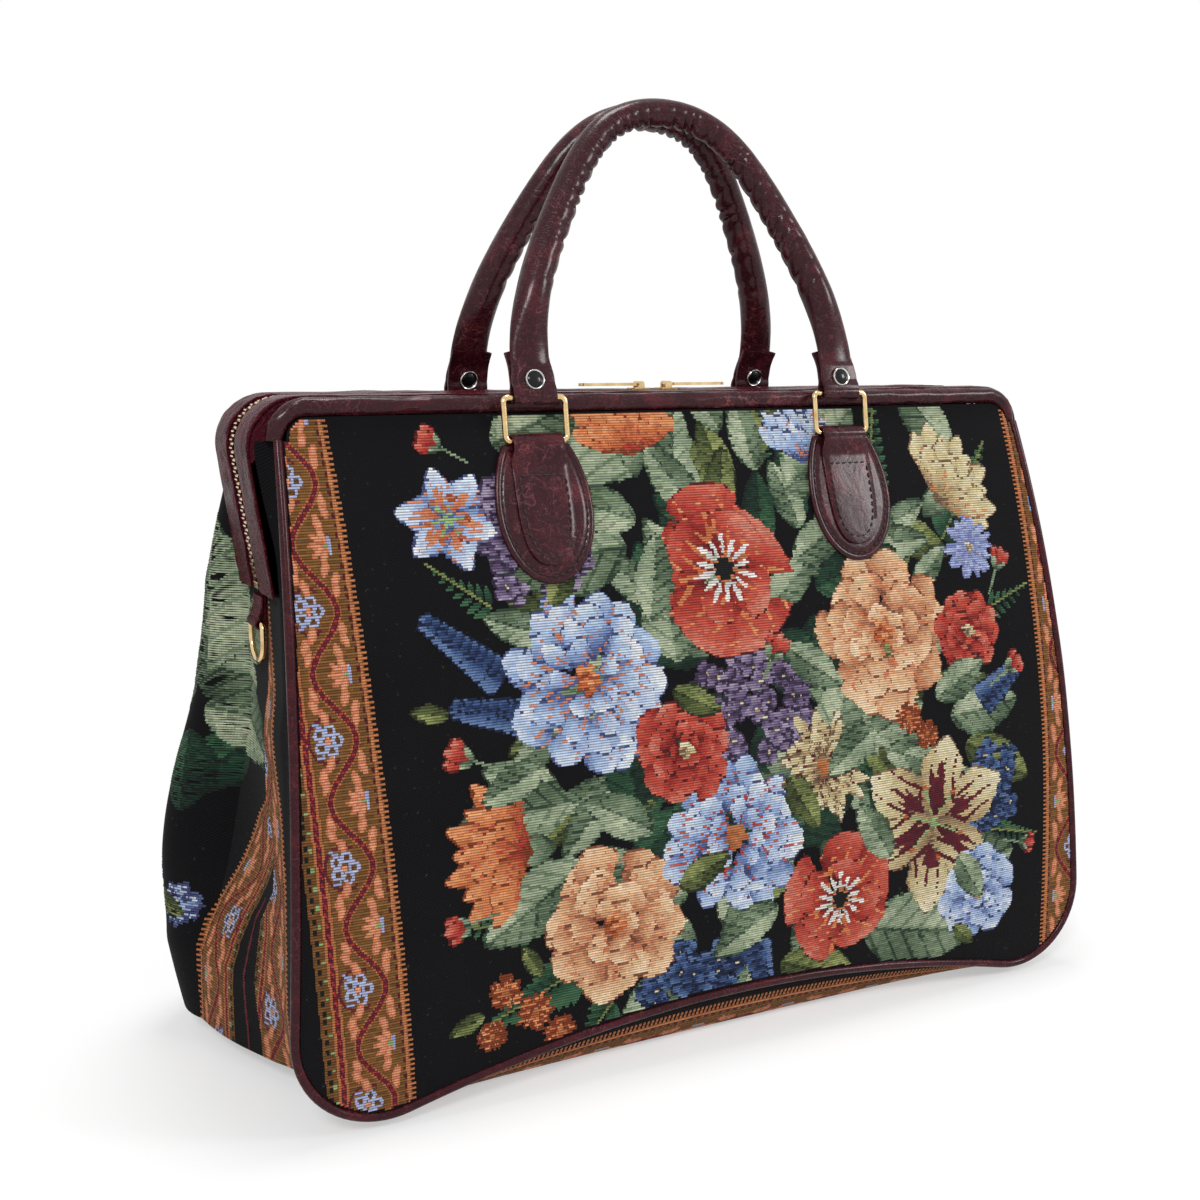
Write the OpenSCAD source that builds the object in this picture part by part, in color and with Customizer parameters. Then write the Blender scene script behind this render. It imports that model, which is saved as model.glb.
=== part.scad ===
/* [Body] */
// Height of the rim's centre line above the floor
rim_h = 350; // [300:2:400]
// Width between the two side pipings at the lower corners
body_w = 492; // [440:2:540]
// Width between the two side pipings at rim height
top_w = 457; // [410:2:500]
// Depth of the bag over the cloth at the floor
base_d = 202; // [170:2:240]
// Depth between the centre lines of the two rims
rim_d = 78; // [70:1:90]
// Power of the curve by which the broad panels lean in towards the rim
lean_power = 2.4; // [2:0.1:3]
// Thickness of the lined cloth
wall = 3; // [2:0.25:4]
// Gap between cloth pieces at a seam
seam_gap = 0.5; // [0.3:0.1:0.8]

/* [Lower corners and base] */
// Radius of a broad panel's lower corners
corner_r = 45; // [30:1:55]
// Height of the piping's centre at its lowest point
corner_low = 7; // [6:0.5:10]
// Slope of the bottom seam where it leaves a corner, which arches the seam up
bottom_slope = 13.5; // [4:0.5:15]
// How far the middle of an end panel stands out past the side pipings, at its foot
end_bulge = 5; // [2:1:12]
// How far an end panel's foot turns out towards the back
end_skew = 10; // [0:1:12]
// How far the back strip of an end panel bulges at its fullest
lobe_back = 33; // [18:1:36]
// How far the back strip of an end panel bulges beside the foot of the zip
lobe_top = 15; // [8:1:17]
// Height at which the back strip is at its fullest
lobe_z = 100; // [80:2:130]
// How far the front strip of an end panel tucks in
front_tuck = 5; // [0:0.5:7]
// How far an end panel's lower edge dips between its corners
end_dip = 8; // [2:0.5:10]
// Share of the base's length that lies flat
flat_ratio_x = 0.87; // [0.8:0.01:0.9]
// Steps out of five, from an end panel's fold to its seam, over which the base lies flat
flat_cols = 3; // [2:1:3]
// Thickness of the stiffening board
board_t = 2.5; // [1.5:0.25:4]
// Margin between the board and the edge of the base's flat part
board_margin = 3; // [2:0.5:10]
// Corner radius of the board
board_r = 20; // [8:1:40]

/* [Piping and rim] */
// Radius of the leather piping
pipe_r = 2.4; // [1.8:0.1:3]
// How far the piping's centre lies inside the cloth's outer face
pipe_set = 0.8; // [0.4:0.1:1.5]
// Radius of the leather rim roll
rim_r = 4.6; // [4:0.1:5.5]
// Radius of the core inside the rim roll
rim_core_r = 3; // [2.2:0.1:3.2]
// Radial play of the core in the roll
core_play = 0.1; // [0.05:0.05:0.3]
// Radius of the rim's bend down to the side piping, at its centre line
rim_bend_r = 16; // [14:0.5:20]

/* [Zip] */
// Height of the zip chain's centre above the rim's centre line
zip_rise = 3; // [-2:0.25:4]
// Radius of the chain's turn over the end of the bag
zip_turn_r = 24; // [20:0.5:30]
// How far the turn reaches out past the side piping at rim height
zip_overhang = 11.5; // [8:0.5:14]
// Slant of the chain's run down the end
zip_slant = 8; // [5:0.5:12]
// Length of the chain's run down the end
zip_drop = 70; // [60:1:90]
// Distance from one tooth to the next in a row
tooth_pitch = 4; // [3.6:0.1:5]
// Length of a tooth along the chain
tooth_l = 1.5; // [1.2:0.05:1.6]
// Height of a tooth
tooth_h = 3; // [2.4:0.1:3.4]
// Width of a tooth across the chain
tooth_w = 5.2; // [4.6:0.1:6]
// How far a tooth reaches past the chain's middle
tooth_reach = 1; // [0.6:0.1:1.4]
// Length of chain that the two closed sliders hold apart
parted_l = 13; // [12:0.5:16]
// Width of the lane between the parted teeth
parted_w = 2.4; // [2.2:0.1:3]
// Width of one side of the tape
tape_w = 10; // [9:0.5:14]
// Thickness of the tape
tape_t = 0.8; // [0.5:0.1:1]
// Gap between the tape and what lies on it
tape_gap = 0.1; // [0.05:0.05:0.2]
// Thickness of the leather facing
facing_t = 1.6; // [1.2:0.1:2.2]
// Distance from the chain's middle to the facing's edge
facing_from = 8; // [7.5:0.25:10]
// Gap between the rim roll and the facing or cloth beside it
facing_gap = 0.3; // [0.2:0.05:0.5]
// Length of a zip end stop
stop_l = 4; // [3:0.5:6]

/* [Sliders and pulls] */
// Length of a slider
slider_l = 12; // [10:0.5:14]
// Width of a slider
slider_w = 10; // [9:0.25:11]
// Thickness of a slider's plates
slider_t = 1.3; // [1:0.1:1.6]
// Running gap between slider and chain
slider_gap = 0.5; // [0.4:0.05:0.8]
// Distance between the two closed sliders
slider_apart = 6; // [4:0.5:8]
// Radius of a pull's pin
pin_r = 0.8; // [0.6:0.05:1]
// Radial play of a pull's eye on its pin
pin_play = 0.15; // [0.1:0.05:0.3]
// Height of the pin above the slider's upper plate
pin_rise = 2; // [1.8:0.1:2.6]
// Length of a pull from its pin to its tip
pull_l = 38; // [28:1:48]
// Width of a pull
pull_w = 7; // [6:0.25:9]
// Thickness of a pull
pull_t = 1.6; // [1.2:0.1:2]

/* [Carrying rings and chapes] */
// Distance between the two rings of a handle
ring_span = 192; // [160:2:230]
// Radius of the ring's wire
ring_wire_r = 1.6; // [1.4:0.1:2]
// Outer width of a ring
ring_w = 38; // [36:0.5:44]
// Distance between a ring's two bars
ring_h = 22.5; // [22:0.5:32]
// Radius of a ring's corners at the wire's centre
ring_corner_r = 3; // [2.5:0.25:4]
// Lean of a ring against the rim, from upright
ring_lean = 8.5; // [6:0.5:9]
// Height of a ring's lower bar below the rim's centre line
ring_drop = 19; // [16:0.5:20]
// Radial play of the wire in its leather loops
loop_play = 0.3; // [0.2:0.05:0.5]
// Thickness of the leather round the wire
loop_t = 2; // [1.5:0.1:2.2]
// Length of a chape's loop along the wire
chape_loop_l = 28.5; // [20:0.5:29]
// Thickness of a chape
chape_t = 2.4; // [1.6:0.1:3]
// Gap between chape and cloth
chape_gap = 0.3; // [0.2:0.05:0.5]
// Full width of a chape
chape_w = 54.6; // [44:0.2:60]
// Length of a chape from its loop to its tip
chape_l = 72; // [66:1:85]
// Distance from the loop to the chape's widest place
chape_mid = 35; // [28:1:42]
// Height of the half ellipse that shapes the chape above its widest place
chape_crown = 45; // [42:1:60]
// Gap between the chape's upper edge and the ring's wire
chape_clear = 0.6; // [0.4:0.1:1]
// Width of the tongue that is sewn on the chape
tongue_w = 32; // [29:0.5:36]
// Length of the tongue below the loop
tongue_l = 62; // [50:1:64]
// Distance from the loop to the start of the tongue's taper
tongue_taper = 22; // [16:1:30]
// Thickness of the tongue
tongue_t = 1.6; // [1.2:0.1:2]

/* [Handles] */
// Height of a handle's centre line over the ring's upper bar
handle_h = 158; // [130:2:180]
// Radius of the rolled handle at its top
handle_r = 7.5; // [6:0.25:9]
// Radius of the rolled handle near its ends
handle_end_r = 9.3; // [8:0.1:10]
// Gap between the two handles where they lean together
handle_gap = 0.6; // [0.4:0.1:2]
// Share by which the handle's arch is narrower than an ellipse at its shoulders
arch_squeeze = 0.06; // [0:0.01:0.1]
// Depth of the gathers along the inner seam
gather_depth = 2; // [0.8:0.1:2.4]
// Number of gathers along the inner seam
gathers = 34; // [20:1:36]
// Width of the flat handle ends
strap_w = 24; // [20:0.5:24]
// Thickness of the flat handle ends
strap_t = 5.4; // [4.6:0.1:6]
// Length of the flat handle ends
strap_l = 26; // [24:0.5:34]
// Height of a rivet over the ring's upper bar
rivet_rise = 8.5; // [8.4:0.1:14]
// Radius of a rivet's cap
rivet_r = 5.5; // [4:0.1:6]
// Height of a rivet's cap
rivet_h = 2.2; // [1.4:0.1:3]
// Radius of a rivet's post
post_r = 1.5; // [1:0.1:2]
// Radial play of a rivet's post, and gap under its caps
post_play = 0.15; // [0.1:0.05:0.3]

/* [End rings] */
// Radius of an end ring's wire
d_wire_r = 1.5; // [1.2:0.1:2]
// Width of an end ring between the middles of its sides
d_w = 25; // [22:0.5:32]
// Height of an end ring's straight sides
d_side = 8; // [6:0.5:12]
// Width of the tab that holds an end ring
d_tab_w = 18; // [12:0.5:18]
// Thickness of the tab's leather
d_tab_t = 1.5; // [1.2:0.1:2]
// Height of the tab above the ring's bar
d_tab_h = 14; // [12:0.5:16]
// Distance of the bar below the end of the zip chain
d_drop = 17; // [16:0.5:22]

/* [Hidden] */
$fn = 48;

tapestry = [0.11, 0.10, 0.10];
leather = [0.27, 0.11, 0.13];
tape_red = [0.38, 0.14, 0.20];
gold = [0.86, 0.72, 0.45];
black_metal = [0.12, 0.12, 0.13];
board_grey = [0.35, 0.33, 0.31];
core_grey = [0.30, 0.30, 0.30];

// Lean of the broad panels: half the bag's depth over the cloth at height z
half_base = base_d / 2;
half_rim = rim_d / 2;
function panel_y(z) = half_base - (half_base - half_rim) * pow(max(z, 0) / rim_h, lean_power);

// Seam outline of a broad panel: straight sides, round lower corners and an arched bottom
corner_cz = corner_low + corner_r;
side_slope = (body_w - top_w) / 2 / (rim_h - corner_cz);
side_angle = atan(side_slope);
corner_cx = body_w / 2 - corner_r / cos(side_angle);
arch_x = corner_cx - corner_r * sin(bottom_slope);
arch_z = corner_cz - corner_r * cos(bottom_slope);
arch_rise = arch_x * tan(bottom_slope) / 2;
seam_top = rim_h - rim_bend_r;
side_foot = corner_cz + corner_r * sin(side_angle);
rim_cx = seam_x(seam_top) - rim_bend_r;
rim_cz = rim_h - rim_bend_r;
pipe_gap = 0.2;
panel_inset = pipe_r + pipe_gap;
rim_inset = rim_r + facing_gap;
side_steps = 9;
corner_steps = 8;
bottom_steps = 6;
function seam_x(z) = body_w / 2 - side_slope * (z - corner_cz);
function bottom_z(x) = arch_z + arch_rise * (1 - pow(x / arch_x, 2));
function corner_point(a, inset) =
    [corner_cx + (corner_r - inset) * cos(a), corner_cz + (corner_r - inset) * sin(a)];
function half_seam(inset) = concat(
    [for (i = [0 : side_steps - 1])
        let (z = seam_top + (side_foot - seam_top) * i / side_steps) [seam_x(z) - inset, z]],
    [for (i = [0 : corner_steps])
        corner_point(side_angle - (side_angle + 90 + bottom_slope) * i / corner_steps, inset)],
    [for (i = [1 : bottom_steps])
        let (x = arch_x * (1 - i / bottom_steps)) [x, bottom_z(x) + inset]]
);
function mirrored(points) =
    [for (i = [len(points) - 1 : -1 : 0]) if (points[i][0] > 0.001) [-points[i][0], points[i][1]]];
function whole(points) = concat(points, mirrored(points));
function seam_z(x) = abs(x) < arch_x ? bottom_z(x)
    : corner_cz - sqrt(max(pow(corner_r, 2) - pow(abs(x) - corner_cx, 2), 0));

// Zip chain in the X-Z plane: a top run, a turn over each end and a slanted run down
zip_z = rim_h + zip_rise;
zip_cx = top_w / 2 + zip_overhang - zip_turn_r;
zip_cz = zip_z - zip_turn_r;
turn_l = zip_turn_r * (90 + zip_slant) * PI / 180;
half_chain = zip_cx + turn_l + zip_drop;
turn_steps = 8;
tooth_bevel = 0.5;
stop_round = 0.6;
zip_foot = zip_cz - zip_turn_r * sin(zip_slant) - zip_drop * cos(zip_slant);
function turn_point(a, n) = [zip_cx + (zip_turn_r + n) * cos(a), zip_cz + (zip_turn_r + n) * sin(a)];
function down_point(l, n) = turn_point(-zip_slant, n) - l * [sin(zip_slant), cos(zip_slant)];
function half_zip(n) = concat(
    [down_point(zip_drop, n)],
    [for (i = [0 : turn_steps]) turn_point(-zip_slant + (90 + zip_slant) * i / turn_steps, n)]
);
function zip_path(n) = whole(half_zip(n));
function reversed(points) = [for (i = [len(points) - 1 : -1 : 0]) points[i]];
function zip_band(from, to) = concat(zip_path(to), reversed(zip_path(from)));
// Centre and turn angle of the chain at length s from the middle of the top run
function chain_at(s) = let (side = s < 0 ? -1 : 1, l = abs(s))
    l <= zip_cx ? [s, zip_z, 0]
    : l <= zip_cx + turn_l
        ? let (a = 90 - (l - zip_cx) / zip_turn_r * 180 / PI, p = turn_point(a, 0))
            [side * p[0], p[1], side * (90 - a)]
        : let (p = down_point(l - zip_cx - turn_l, 0)) [side * p[0], p[1], side * (90 + zip_slant)];
// Distance of the chain from the middle plane at height z on the end of the bag
function chain_x(z) = z > zip_cz - zip_turn_r * sin(zip_slant)
    ? zip_cx + sqrt(max(pow(zip_turn_r, 2) - pow(z - zip_cz, 2), 0))
    : turn_point(-zip_slant, 0)[0] - (zip_cz - zip_turn_r * sin(zip_slant) - z) * tan(zip_slant);
facing_y = half_rim - rim_r - facing_gap;
facing_n = tape_t / 2 + tape_gap;

// End panel: bulges at the floor, folds in towards the foot of the zip, open round the zip
notch_y = facing_y + seam_gap;
notch_z = zip_foot - seam_gap;
edge_y_gap = pipe_set + pipe_r + 2 * pipe_gap;
zip_seat = 1.5;
end_low_angle = -45;
end_low = corner_point(end_low_angle, 0);
end_fold_x = chain_x(notch_z) - zip_seat;
d_bar_z = zip_foot - d_drop;
fold_z = d_bar_z - d_side - d_w / 2 - 2 * d_wire_r;
bulge_x = body_w / 2 + end_bulge;
pleat_in = 4;
arc_rows = 3;
low_rows = 5;
fold_rows = 1;
top_rows = 5;
notch_row = arc_rows + low_rows + fold_rows;
strip_cols = 5;
mid_cols = 6;
function smooth(t) = let (c = min(max(t, 0), 1)) c * c * (3 - 2 * c);
// Edge point of row i as [x, z], from the lower corner to the rim
function end_edge(i) = i <= arc_rows
    ? corner_point(end_low_angle + (side_angle - end_low_angle) * i / arc_rows, 0)
    : let (z = i <= arc_rows + low_rows
            ? side_foot + (fold_z - side_foot) * (i - arc_rows) / low_rows
            : i <= notch_row
                ? fold_z + (notch_z - fold_z) * (i - arc_rows - low_rows) / fold_rows
                : notch_z + (seam_top - seam_gap - notch_z) * (i - notch_row) / top_rows)
        [seam_x(z), z];
function end_mid_x(z) = z >= notch_z ? chain_x(z) - zip_seat
    : end_fold_x + (bulge_x - end_fold_x) * end_share(z);
// Share of the foot's form at height z, from 0 at the fold to 1 at the lower corners
function end_share(z) = pow(min(max((fold_z - z) / (fold_z - side_foot), 0), 1), 2);
// Bulge of the front strip, side -1, or of the back strip, side 1
function end_lobe(z, side) =
    let (high = side < 0 ? -front_tuck : lobe_top, full = side < 0 ? -front_tuck : lobe_back)
    z >= notch_z ? high - (high + pleat_in) * (z - notch_z) / (seam_top - notch_z)
    : high + (full - high) * smooth((notch_z - z) / (notch_z - lobe_z));
function arc_share(k) = 4 * k / strip_cols * (1 - k / strip_cols);
function lobe_share(s) = let (k = min(floor(s * strip_cols), strip_cols - 1), f = s * strip_cols - k)
    (1 - f) * arc_share(k) + f * arc_share(k + 1);
// Distance of the end from the middle plane, where the panel reaches depth ye and its seam lies at xe
function end_x(z, y, ye, xe) =
    let (s = max(0, (abs(y) - notch_y) / (ye - notch_y)), turn = min(max(y / notch_y, -1), 1))
    (1 - s) * (end_mid_x(z) + end_skew * end_share(z) * turn) + s * (xe - seam_gap)
        + end_lobe(z, y < 0 ? -1 : 1) * lobe_share(s);
function end_dip_at(i, y, ye) = end_dip * max(0, 1 - i / (arc_rows + 1)) * (1 - pow(y / ye, 2));
// Depth of column j: a front strip, the middle between the folds and a back strip
function end_col(j, ye) = j <= strip_cols
    ? -(notch_y + (ye - notch_y) * (1 - j / strip_cols))
    : j < strip_cols + mid_cols
        ? -notch_y + 2 * notch_y * (j - strip_cols) / mid_cols
        : notch_y + (ye - notch_y) * (j - strip_cols - mid_cols) / strip_cols;
function end_point(i, j, inner) =
    let (e = end_edge(i), ye = panel_y(e[1]) - edge_y_gap, y = end_col(j, ye))
    [end_x(e[1], y, ye, e[0]) - inner * wall, y, e[1] - end_dip_at(i, y, ye)];

// Base: flat in the middle, turned up to the seams all round
base_y = panel_y(corner_low) - edge_y_gap - pipe_gap;
base_inset = wall + seam_gap;
base_drop = 1;
board_gap = 0.2;
base_cols = [-1, -0.96, -0.92, -flat_ratio_x, -0.6, -0.3, 0, 0.3, 0.6, flat_ratio_x, 0.92, 0.96, 1];
function strip_row(k) = (notch_y + (base_y - notch_y) * k / strip_cols) / base_y;
flat_v = strip_row(flat_cols);
base_rows = concat([for (k = [strip_cols : -1 : 0]) -strip_row(k)], [0],
    [for (k = [0 : strip_cols]) strip_row(k)]);
function base_end_x(v) = end_x(end_low[1], v * base_y, base_y, end_low[0]) - base_inset;
function turn_up(t, flat) = pow(max(0, (abs(t) - flat) / (1 - flat)), 2);
function base_point(i, j, inner) =
    let (v = base_rows[i], w = base_cols[j], x = w * base_end_x(v),
        front_z = (seam_z(x) - base_drop) * turn_up(v, flat_v),
        end_z = (end_low[1] - end_dip * (1 - v * v)) * turn_up(w, flat_ratio_x))
    [x, v * base_y, max(front_z, end_z) + inner * wall];
board_x = flat_ratio_x * min([for (v = base_rows) base_end_x(v)]) - board_margin;
board_y = flat_v * base_y - board_margin;

// Carrying rings, leaning on the rim
loop_r = ring_wire_r + loop_play + loop_t;
ring_z = rim_h - ring_drop;
ring_y = panel_y(ring_z) + chape_gap + loop_r;
ring_mid_w = ring_w - 2 * ring_wire_r;
bar_y = ring_y - ring_h * sin(ring_lean);
bar_z = ring_z + ring_h * cos(ring_lean);

// Handles, leaning together over the zip
handle_lean = asin((bar_y - handle_r - handle_gap / 2) / handle_h);
handle_foot = 18;
handle_rings = 2 * gathers + 16;
handle_sides = 10;
plain_rings = 8;
roll_cover = 0.4;
strap_cover = 1;
flat_half_t = strap_t / 2 + roll_cover;
flat_half_w = strap_w / 2 - strap_cover;

// Sliders
plate_n = tooth_h / 2 + slider_gap;
slider_x = slider_apart / 2 + slider_l / 2;
pin_n = plate_n + slider_t + pin_rise;
eye_t = 0.8;
eye_r = pin_r + pin_play + eye_t;
eye_play = 0.2;
eye_w = slider_w / 2 - 2 * eye_play;
lug_t = 1.4;
lug_y = (eye_w + lug_t) / 2 + eye_play;
neck_w = 1.6;
neck_l = 2.5;
neck_back = 0.5;
slider_round = 2.5;
pull_shoulder = eye_r + 1.5;
pull_neck_w = eye_w - 1;

// End rings
d_loop_r = d_wire_r + loop_play + d_tab_t;
d_bar_x = end_fold_x + chape_gap + d_loop_r;
d_corner_r = 3;

// Solid between y0 and y1 with the children's outline in the X-Z plane
module along_y(y0, y1) {
    translate([0, y1, 0]) rotate([90, 0, 0]) linear_extrude(y1 - y0) children();
}

// Solid of length l along X with the children's outline in the Y-Z plane
module along_x(l) {
    rotate([90, 0, 90]) linear_extrude(l, center = true) children();
}

// Rounded rectangle from plain shapes
module round_rect(w, h, r) {
    square([w - 2 * r, h], center = true);
    square([w, h - 2 * r], center = true);
    for (x = [-1, 1], y = [-1, 1])
        translate([x * (w / 2 - r), y * (h / 2 - r)]) circle(r);
}

// Closed solid between two grids of points; keep(i, j) cells make the sheet
module sheet(outer, inner, keep) {
    rows = len(outer);
    cols = len(outer[0]);
    points = [for (side = [outer, inner], row = side, p = row) p];
    function at(k, i, j) = k * rows * cols + i * cols + j;
    function kept(i, j) = i >= 0 && j >= 0 && i < rows - 1 && j < cols - 1 && keep[i][j];
    function both(a, b, c, d) = [[a, b, c], [a, c, d]];
    cells = [for (i = [0 : rows - 2], j = [0 : cols - 2]) if (kept(i, j)) [i, j]];
    faces = [for (c = cells) let (i = c[0], j = c[1]) each concat(
        both(at(0, i, j), at(0, i + 1, j), at(0, i + 1, j + 1), at(0, i, j + 1)),
        both(at(1, i, j), at(1, i, j + 1), at(1, i + 1, j + 1), at(1, i + 1, j)),
        kept(i - 1, j) ? [] : both(at(0, i, j), at(0, i, j + 1), at(1, i, j + 1), at(1, i, j)),
        kept(i + 1, j) ? []
            : both(at(0, i + 1, j + 1), at(0, i + 1, j), at(1, i + 1, j), at(1, i + 1, j + 1)),
        kept(i, j - 1) ? [] : both(at(0, i + 1, j), at(0, i, j), at(1, i, j), at(1, i + 1, j)),
        kept(i, j + 1) ? []
            : both(at(0, i, j + 1), at(0, i + 1, j + 1), at(1, i + 1, j + 1), at(1, i, j + 1)))];
    polyhedron(points, faces, convexity = 6);
}

// Closed tube through rings of points
module skin(rings) {
    n = len(rings);
    m = len(rings[0]);
    points = [for (r = rings, p = r) p];
    sides = [for (i = [0 : n - 2], k = [0 : m - 1]) let (a = i * m + k, b = i * m + (k + 1) % m)
        each [[a, b, b + m], [a, b + m, a + m]]];
    caps = [[for (k = [m - 1 : -1 : 0]) k], [for (k = [0 : m - 1]) (n - 1) * m + k]];
    polyhedron(points, concat(sides, caps), convexity = 8);
}

function unit(v) = v / norm(v);
function tangent(path, i) = unit(path[min(i + 1, len(path) - 1)] - path[max(i - 1, 0)]);

module front_panel() {
    steps = 14;
    heights = [for (i = [0 : steps]) rim_h * i / steps];
    face = [for (z = heights) [-panel_y(z), z]];
    back = [for (z = reversed(heights)) [wall - panel_y(z), z]];
    corner = [for (i = [0 : 4])
        let (a = 90 * (1 - i / 4), r = rim_bend_r - rim_inset)
        [rim_cx + r * cos(a), rim_cz + r * sin(a)]];
    color(tapestry) intersection() {
        along_x(body_w) polygon(concat(face, back));
        along_y(-base_d, 0) polygon(whole(concat(corner, half_seam(panel_inset))));
    }
}

module piping() {
    sides = 8;
    path = [for (p = whole(half_seam(0))) [p[0], pipe_set - panel_y(p[1]), p[1]]];
    color(leather) skin([for (i = [0 : len(path) - 1])
        let (t = tangent(path, i), a = unit([0, 1, 0] - t[1] * t), b = cross(t, a))
        [for (k = [0 : sides - 1])
            path[i] + pipe_r * (cos(360 * k / sides) * a + sin(360 * k / sides) * b)]]);
}

// Round bar along the rim with a bend down at each end
module rim_bar(r) {
    translate([-rim_cx, -half_rim, rim_h]) rotate([0, 90, 0]) cylinder(r = r, h = 2 * rim_cx);
    for (side = [0, 1]) mirror([side, 0, 0])
        translate([rim_cx, -half_rim, rim_cz]) rotate([90, 0, 0])
            rotate_extrude(angle = 90) translate([rim_bend_r, 0]) circle(r);
}

module rim() {
    color(leather) difference() {
        rim_bar(rim_r);
        rim_bar(rim_core_r + core_play);
    }
}

module rim_core() {
    color(core_grey) rim_bar(rim_core_r);
}

module facing() {
    color(leather) along_y(-facing_y, -facing_from) polygon(zip_band(facing_n, facing_n + facing_t));
}

module zip_tape() {
    inner = tooth_w - tooth_reach + tape_gap;
    color(tape_red) along_y(-inner - tape_w, -inner) polygon(zip_band(-tape_t / 2, tape_t / 2));
}

// One row of teeth; shift moves it along the chain, in pitches
module zip_teeth(shift) {
    reach_l = half_chain - stop_l - tooth_l / 2 - slider_gap;
    count = ceil(reach_l / tooth_pitch);
    top = tooth_h / 2;
    bevel = top - tooth_bevel;
    tooth = [[-tooth_l / 2, -top], [tooth_l / 2, -top], [tooth_l / 2, bevel],
        [tooth_l / 4, top], [-tooth_l / 4, top], [-tooth_l / 2, bevel]];
    places = [for (k = [-count : count]) (k + shift) * tooth_pitch];
    color(gold) for (s = places) if (abs(s) <= reach_l) {
        at = chain_at(s);
        reach = abs(s) < parted_l / 2 ? -parted_w / 2 : tooth_reach;
        translate([at[0], 0, at[1]]) rotate([0, at[2], 0])
            along_y(tooth_reach - tooth_w, reach) polygon(tooth);
    }
}

module zip_stop() {
    at = chain_at(half_chain - stop_l / 2);
    color(gold) translate([at[0], 0, at[1]]) rotate([0, at[2], 0])
        along_y(tooth_reach - tooth_w, tooth_w - tooth_reach) round_rect(stop_l, tooth_h, stop_round);
}

module gusset() {
    rows = notch_row + top_rows;
    cols = 2 * strip_cols + mid_cols;
    color(tapestry) sheet(
        [for (i = [0 : rows]) [for (j = [0 : cols]) end_point(i, j, 0)]],
        [for (i = [0 : rows]) [for (j = [0 : cols]) end_point(i, j, 1)]],
        [for (i = [0 : rows - 1]) [for (j = [0 : cols - 1])
            i < notch_row || j < strip_cols || j >= strip_cols + mid_cols]]);
}

module base_panel() {
    rows = len(base_rows) - 1;
    cols = len(base_cols) - 1;
    color(tapestry) sheet(
        [for (i = [0 : rows]) [for (j = [0 : cols]) base_point(i, j, 0)]],
        [for (i = [0 : rows]) [for (j = [0 : cols]) base_point(i, j, 1)]],
        [for (i = [0 : rows - 1]) [for (j = [0 : cols - 1]) true]]);
}

module base_board() {
    color(board_grey) translate([0, 0, wall + board_gap]) linear_extrude(board_t)
        round_rect(2 * board_x, 2 * board_y, board_r);
}

// Slider with a plate over and under the chain, a neck between the rows and lugs for the pin
module slider() {
    color(gold) translate([slider_x, 0, zip_z]) {
        for (n = [plate_n, -plate_n - slider_t])
            translate([0, 0, n]) linear_extrude(slider_t) round_rect(slider_l, slider_w, slider_round);
        translate([neck_back - slider_l / 2, -neck_w / 2, -plate_n - slider_t / 2])
            cube([neck_l, neck_w, 2 * plate_n + slider_t]);
        for (y = [-lug_y, lug_y]) along_y(y - lug_t / 2, y + lug_t / 2) {
            translate([0, pin_n]) circle(eye_r);
            translate([-eye_r, plate_n + slider_t / 2]) square([2 * eye_r, pin_n - plate_n - slider_t / 2]);
        }
        translate([0, 0, pin_n]) rotate([90, 0, 0])
            cylinder(r = pin_r, h = eye_w + 2 * lug_t, center = true);
    }
}

// Pull with an eye round the slider's pin and a holed round tip
module pull() {
    color(gold) translate([slider_x, 0, zip_z + pin_n]) difference() {
        union() {
            rotate([90, 0, 0]) cylinder(r = eye_r, h = eye_w, center = true);
            translate([0, 0, -pull_t / 2]) linear_extrude(pull_t) {
                translate([0, -pull_neck_w / 2]) square([pull_shoulder + 1, pull_neck_w]);
                translate([pull_shoulder, -pull_w / 2]) square([pull_l - pull_w / 2 - pull_shoulder, pull_w]);
                translate([pull_l - pull_w / 2, 0]) circle(pull_w / 2);
            }
        }
        rotate([90, 0, 0]) cylinder(r = pin_r + pin_play, h = pull_w, center = true);
        translate([pull_l - pull_w / 2, 0, 0]) cylinder(r = pull_w / 4, h = 2 * pull_t, center = true);
    }
}

// Leather tab folded round the end ring's bar
module d_tab() {
    color(leather) difference() {
        along_y(-d_tab_w / 2, d_tab_w / 2) {
            translate([d_bar_x, d_bar_z]) circle(d_loop_r);
            translate([d_bar_x - d_loop_r, d_bar_z]) square([2 * d_tab_t, d_tab_h]);
        }
        translate([d_bar_x, 0, d_bar_z]) rotate([90, 0, 0])
            cylinder(r = d_wire_r + loop_play, h = 2 * d_tab_w, center = true);
    }
}

// End ring: a bar, two short sides and a half round
module d_ring() {
    half = d_w / 2;
    color(gold) translate([d_bar_x, 0, d_bar_z]) rotate([0, 90, 0]) {
        translate([0, d_corner_r - half, 0]) rotate([-90, 0, 0])
            cylinder(r = d_wire_r, h = d_w - 2 * d_corner_r);
        for (side = [0, 1]) mirror([0, side, 0]) {
            translate([d_corner_r, half - d_corner_r, 0]) rotate([0, 0, 90])
                rotate_extrude(angle = 90) translate([d_corner_r, 0]) circle(d_wire_r);
            translate([d_corner_r, half, 0]) rotate([0, 90, 0])
                cylinder(r = d_wire_r, h = d_side - d_corner_r);
        }
        translate([d_side, 0, 0]) rotate([0, 0, -90])
            rotate_extrude(angle = 180) translate([half, 0]) circle(d_wire_r);
    }
}

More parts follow.
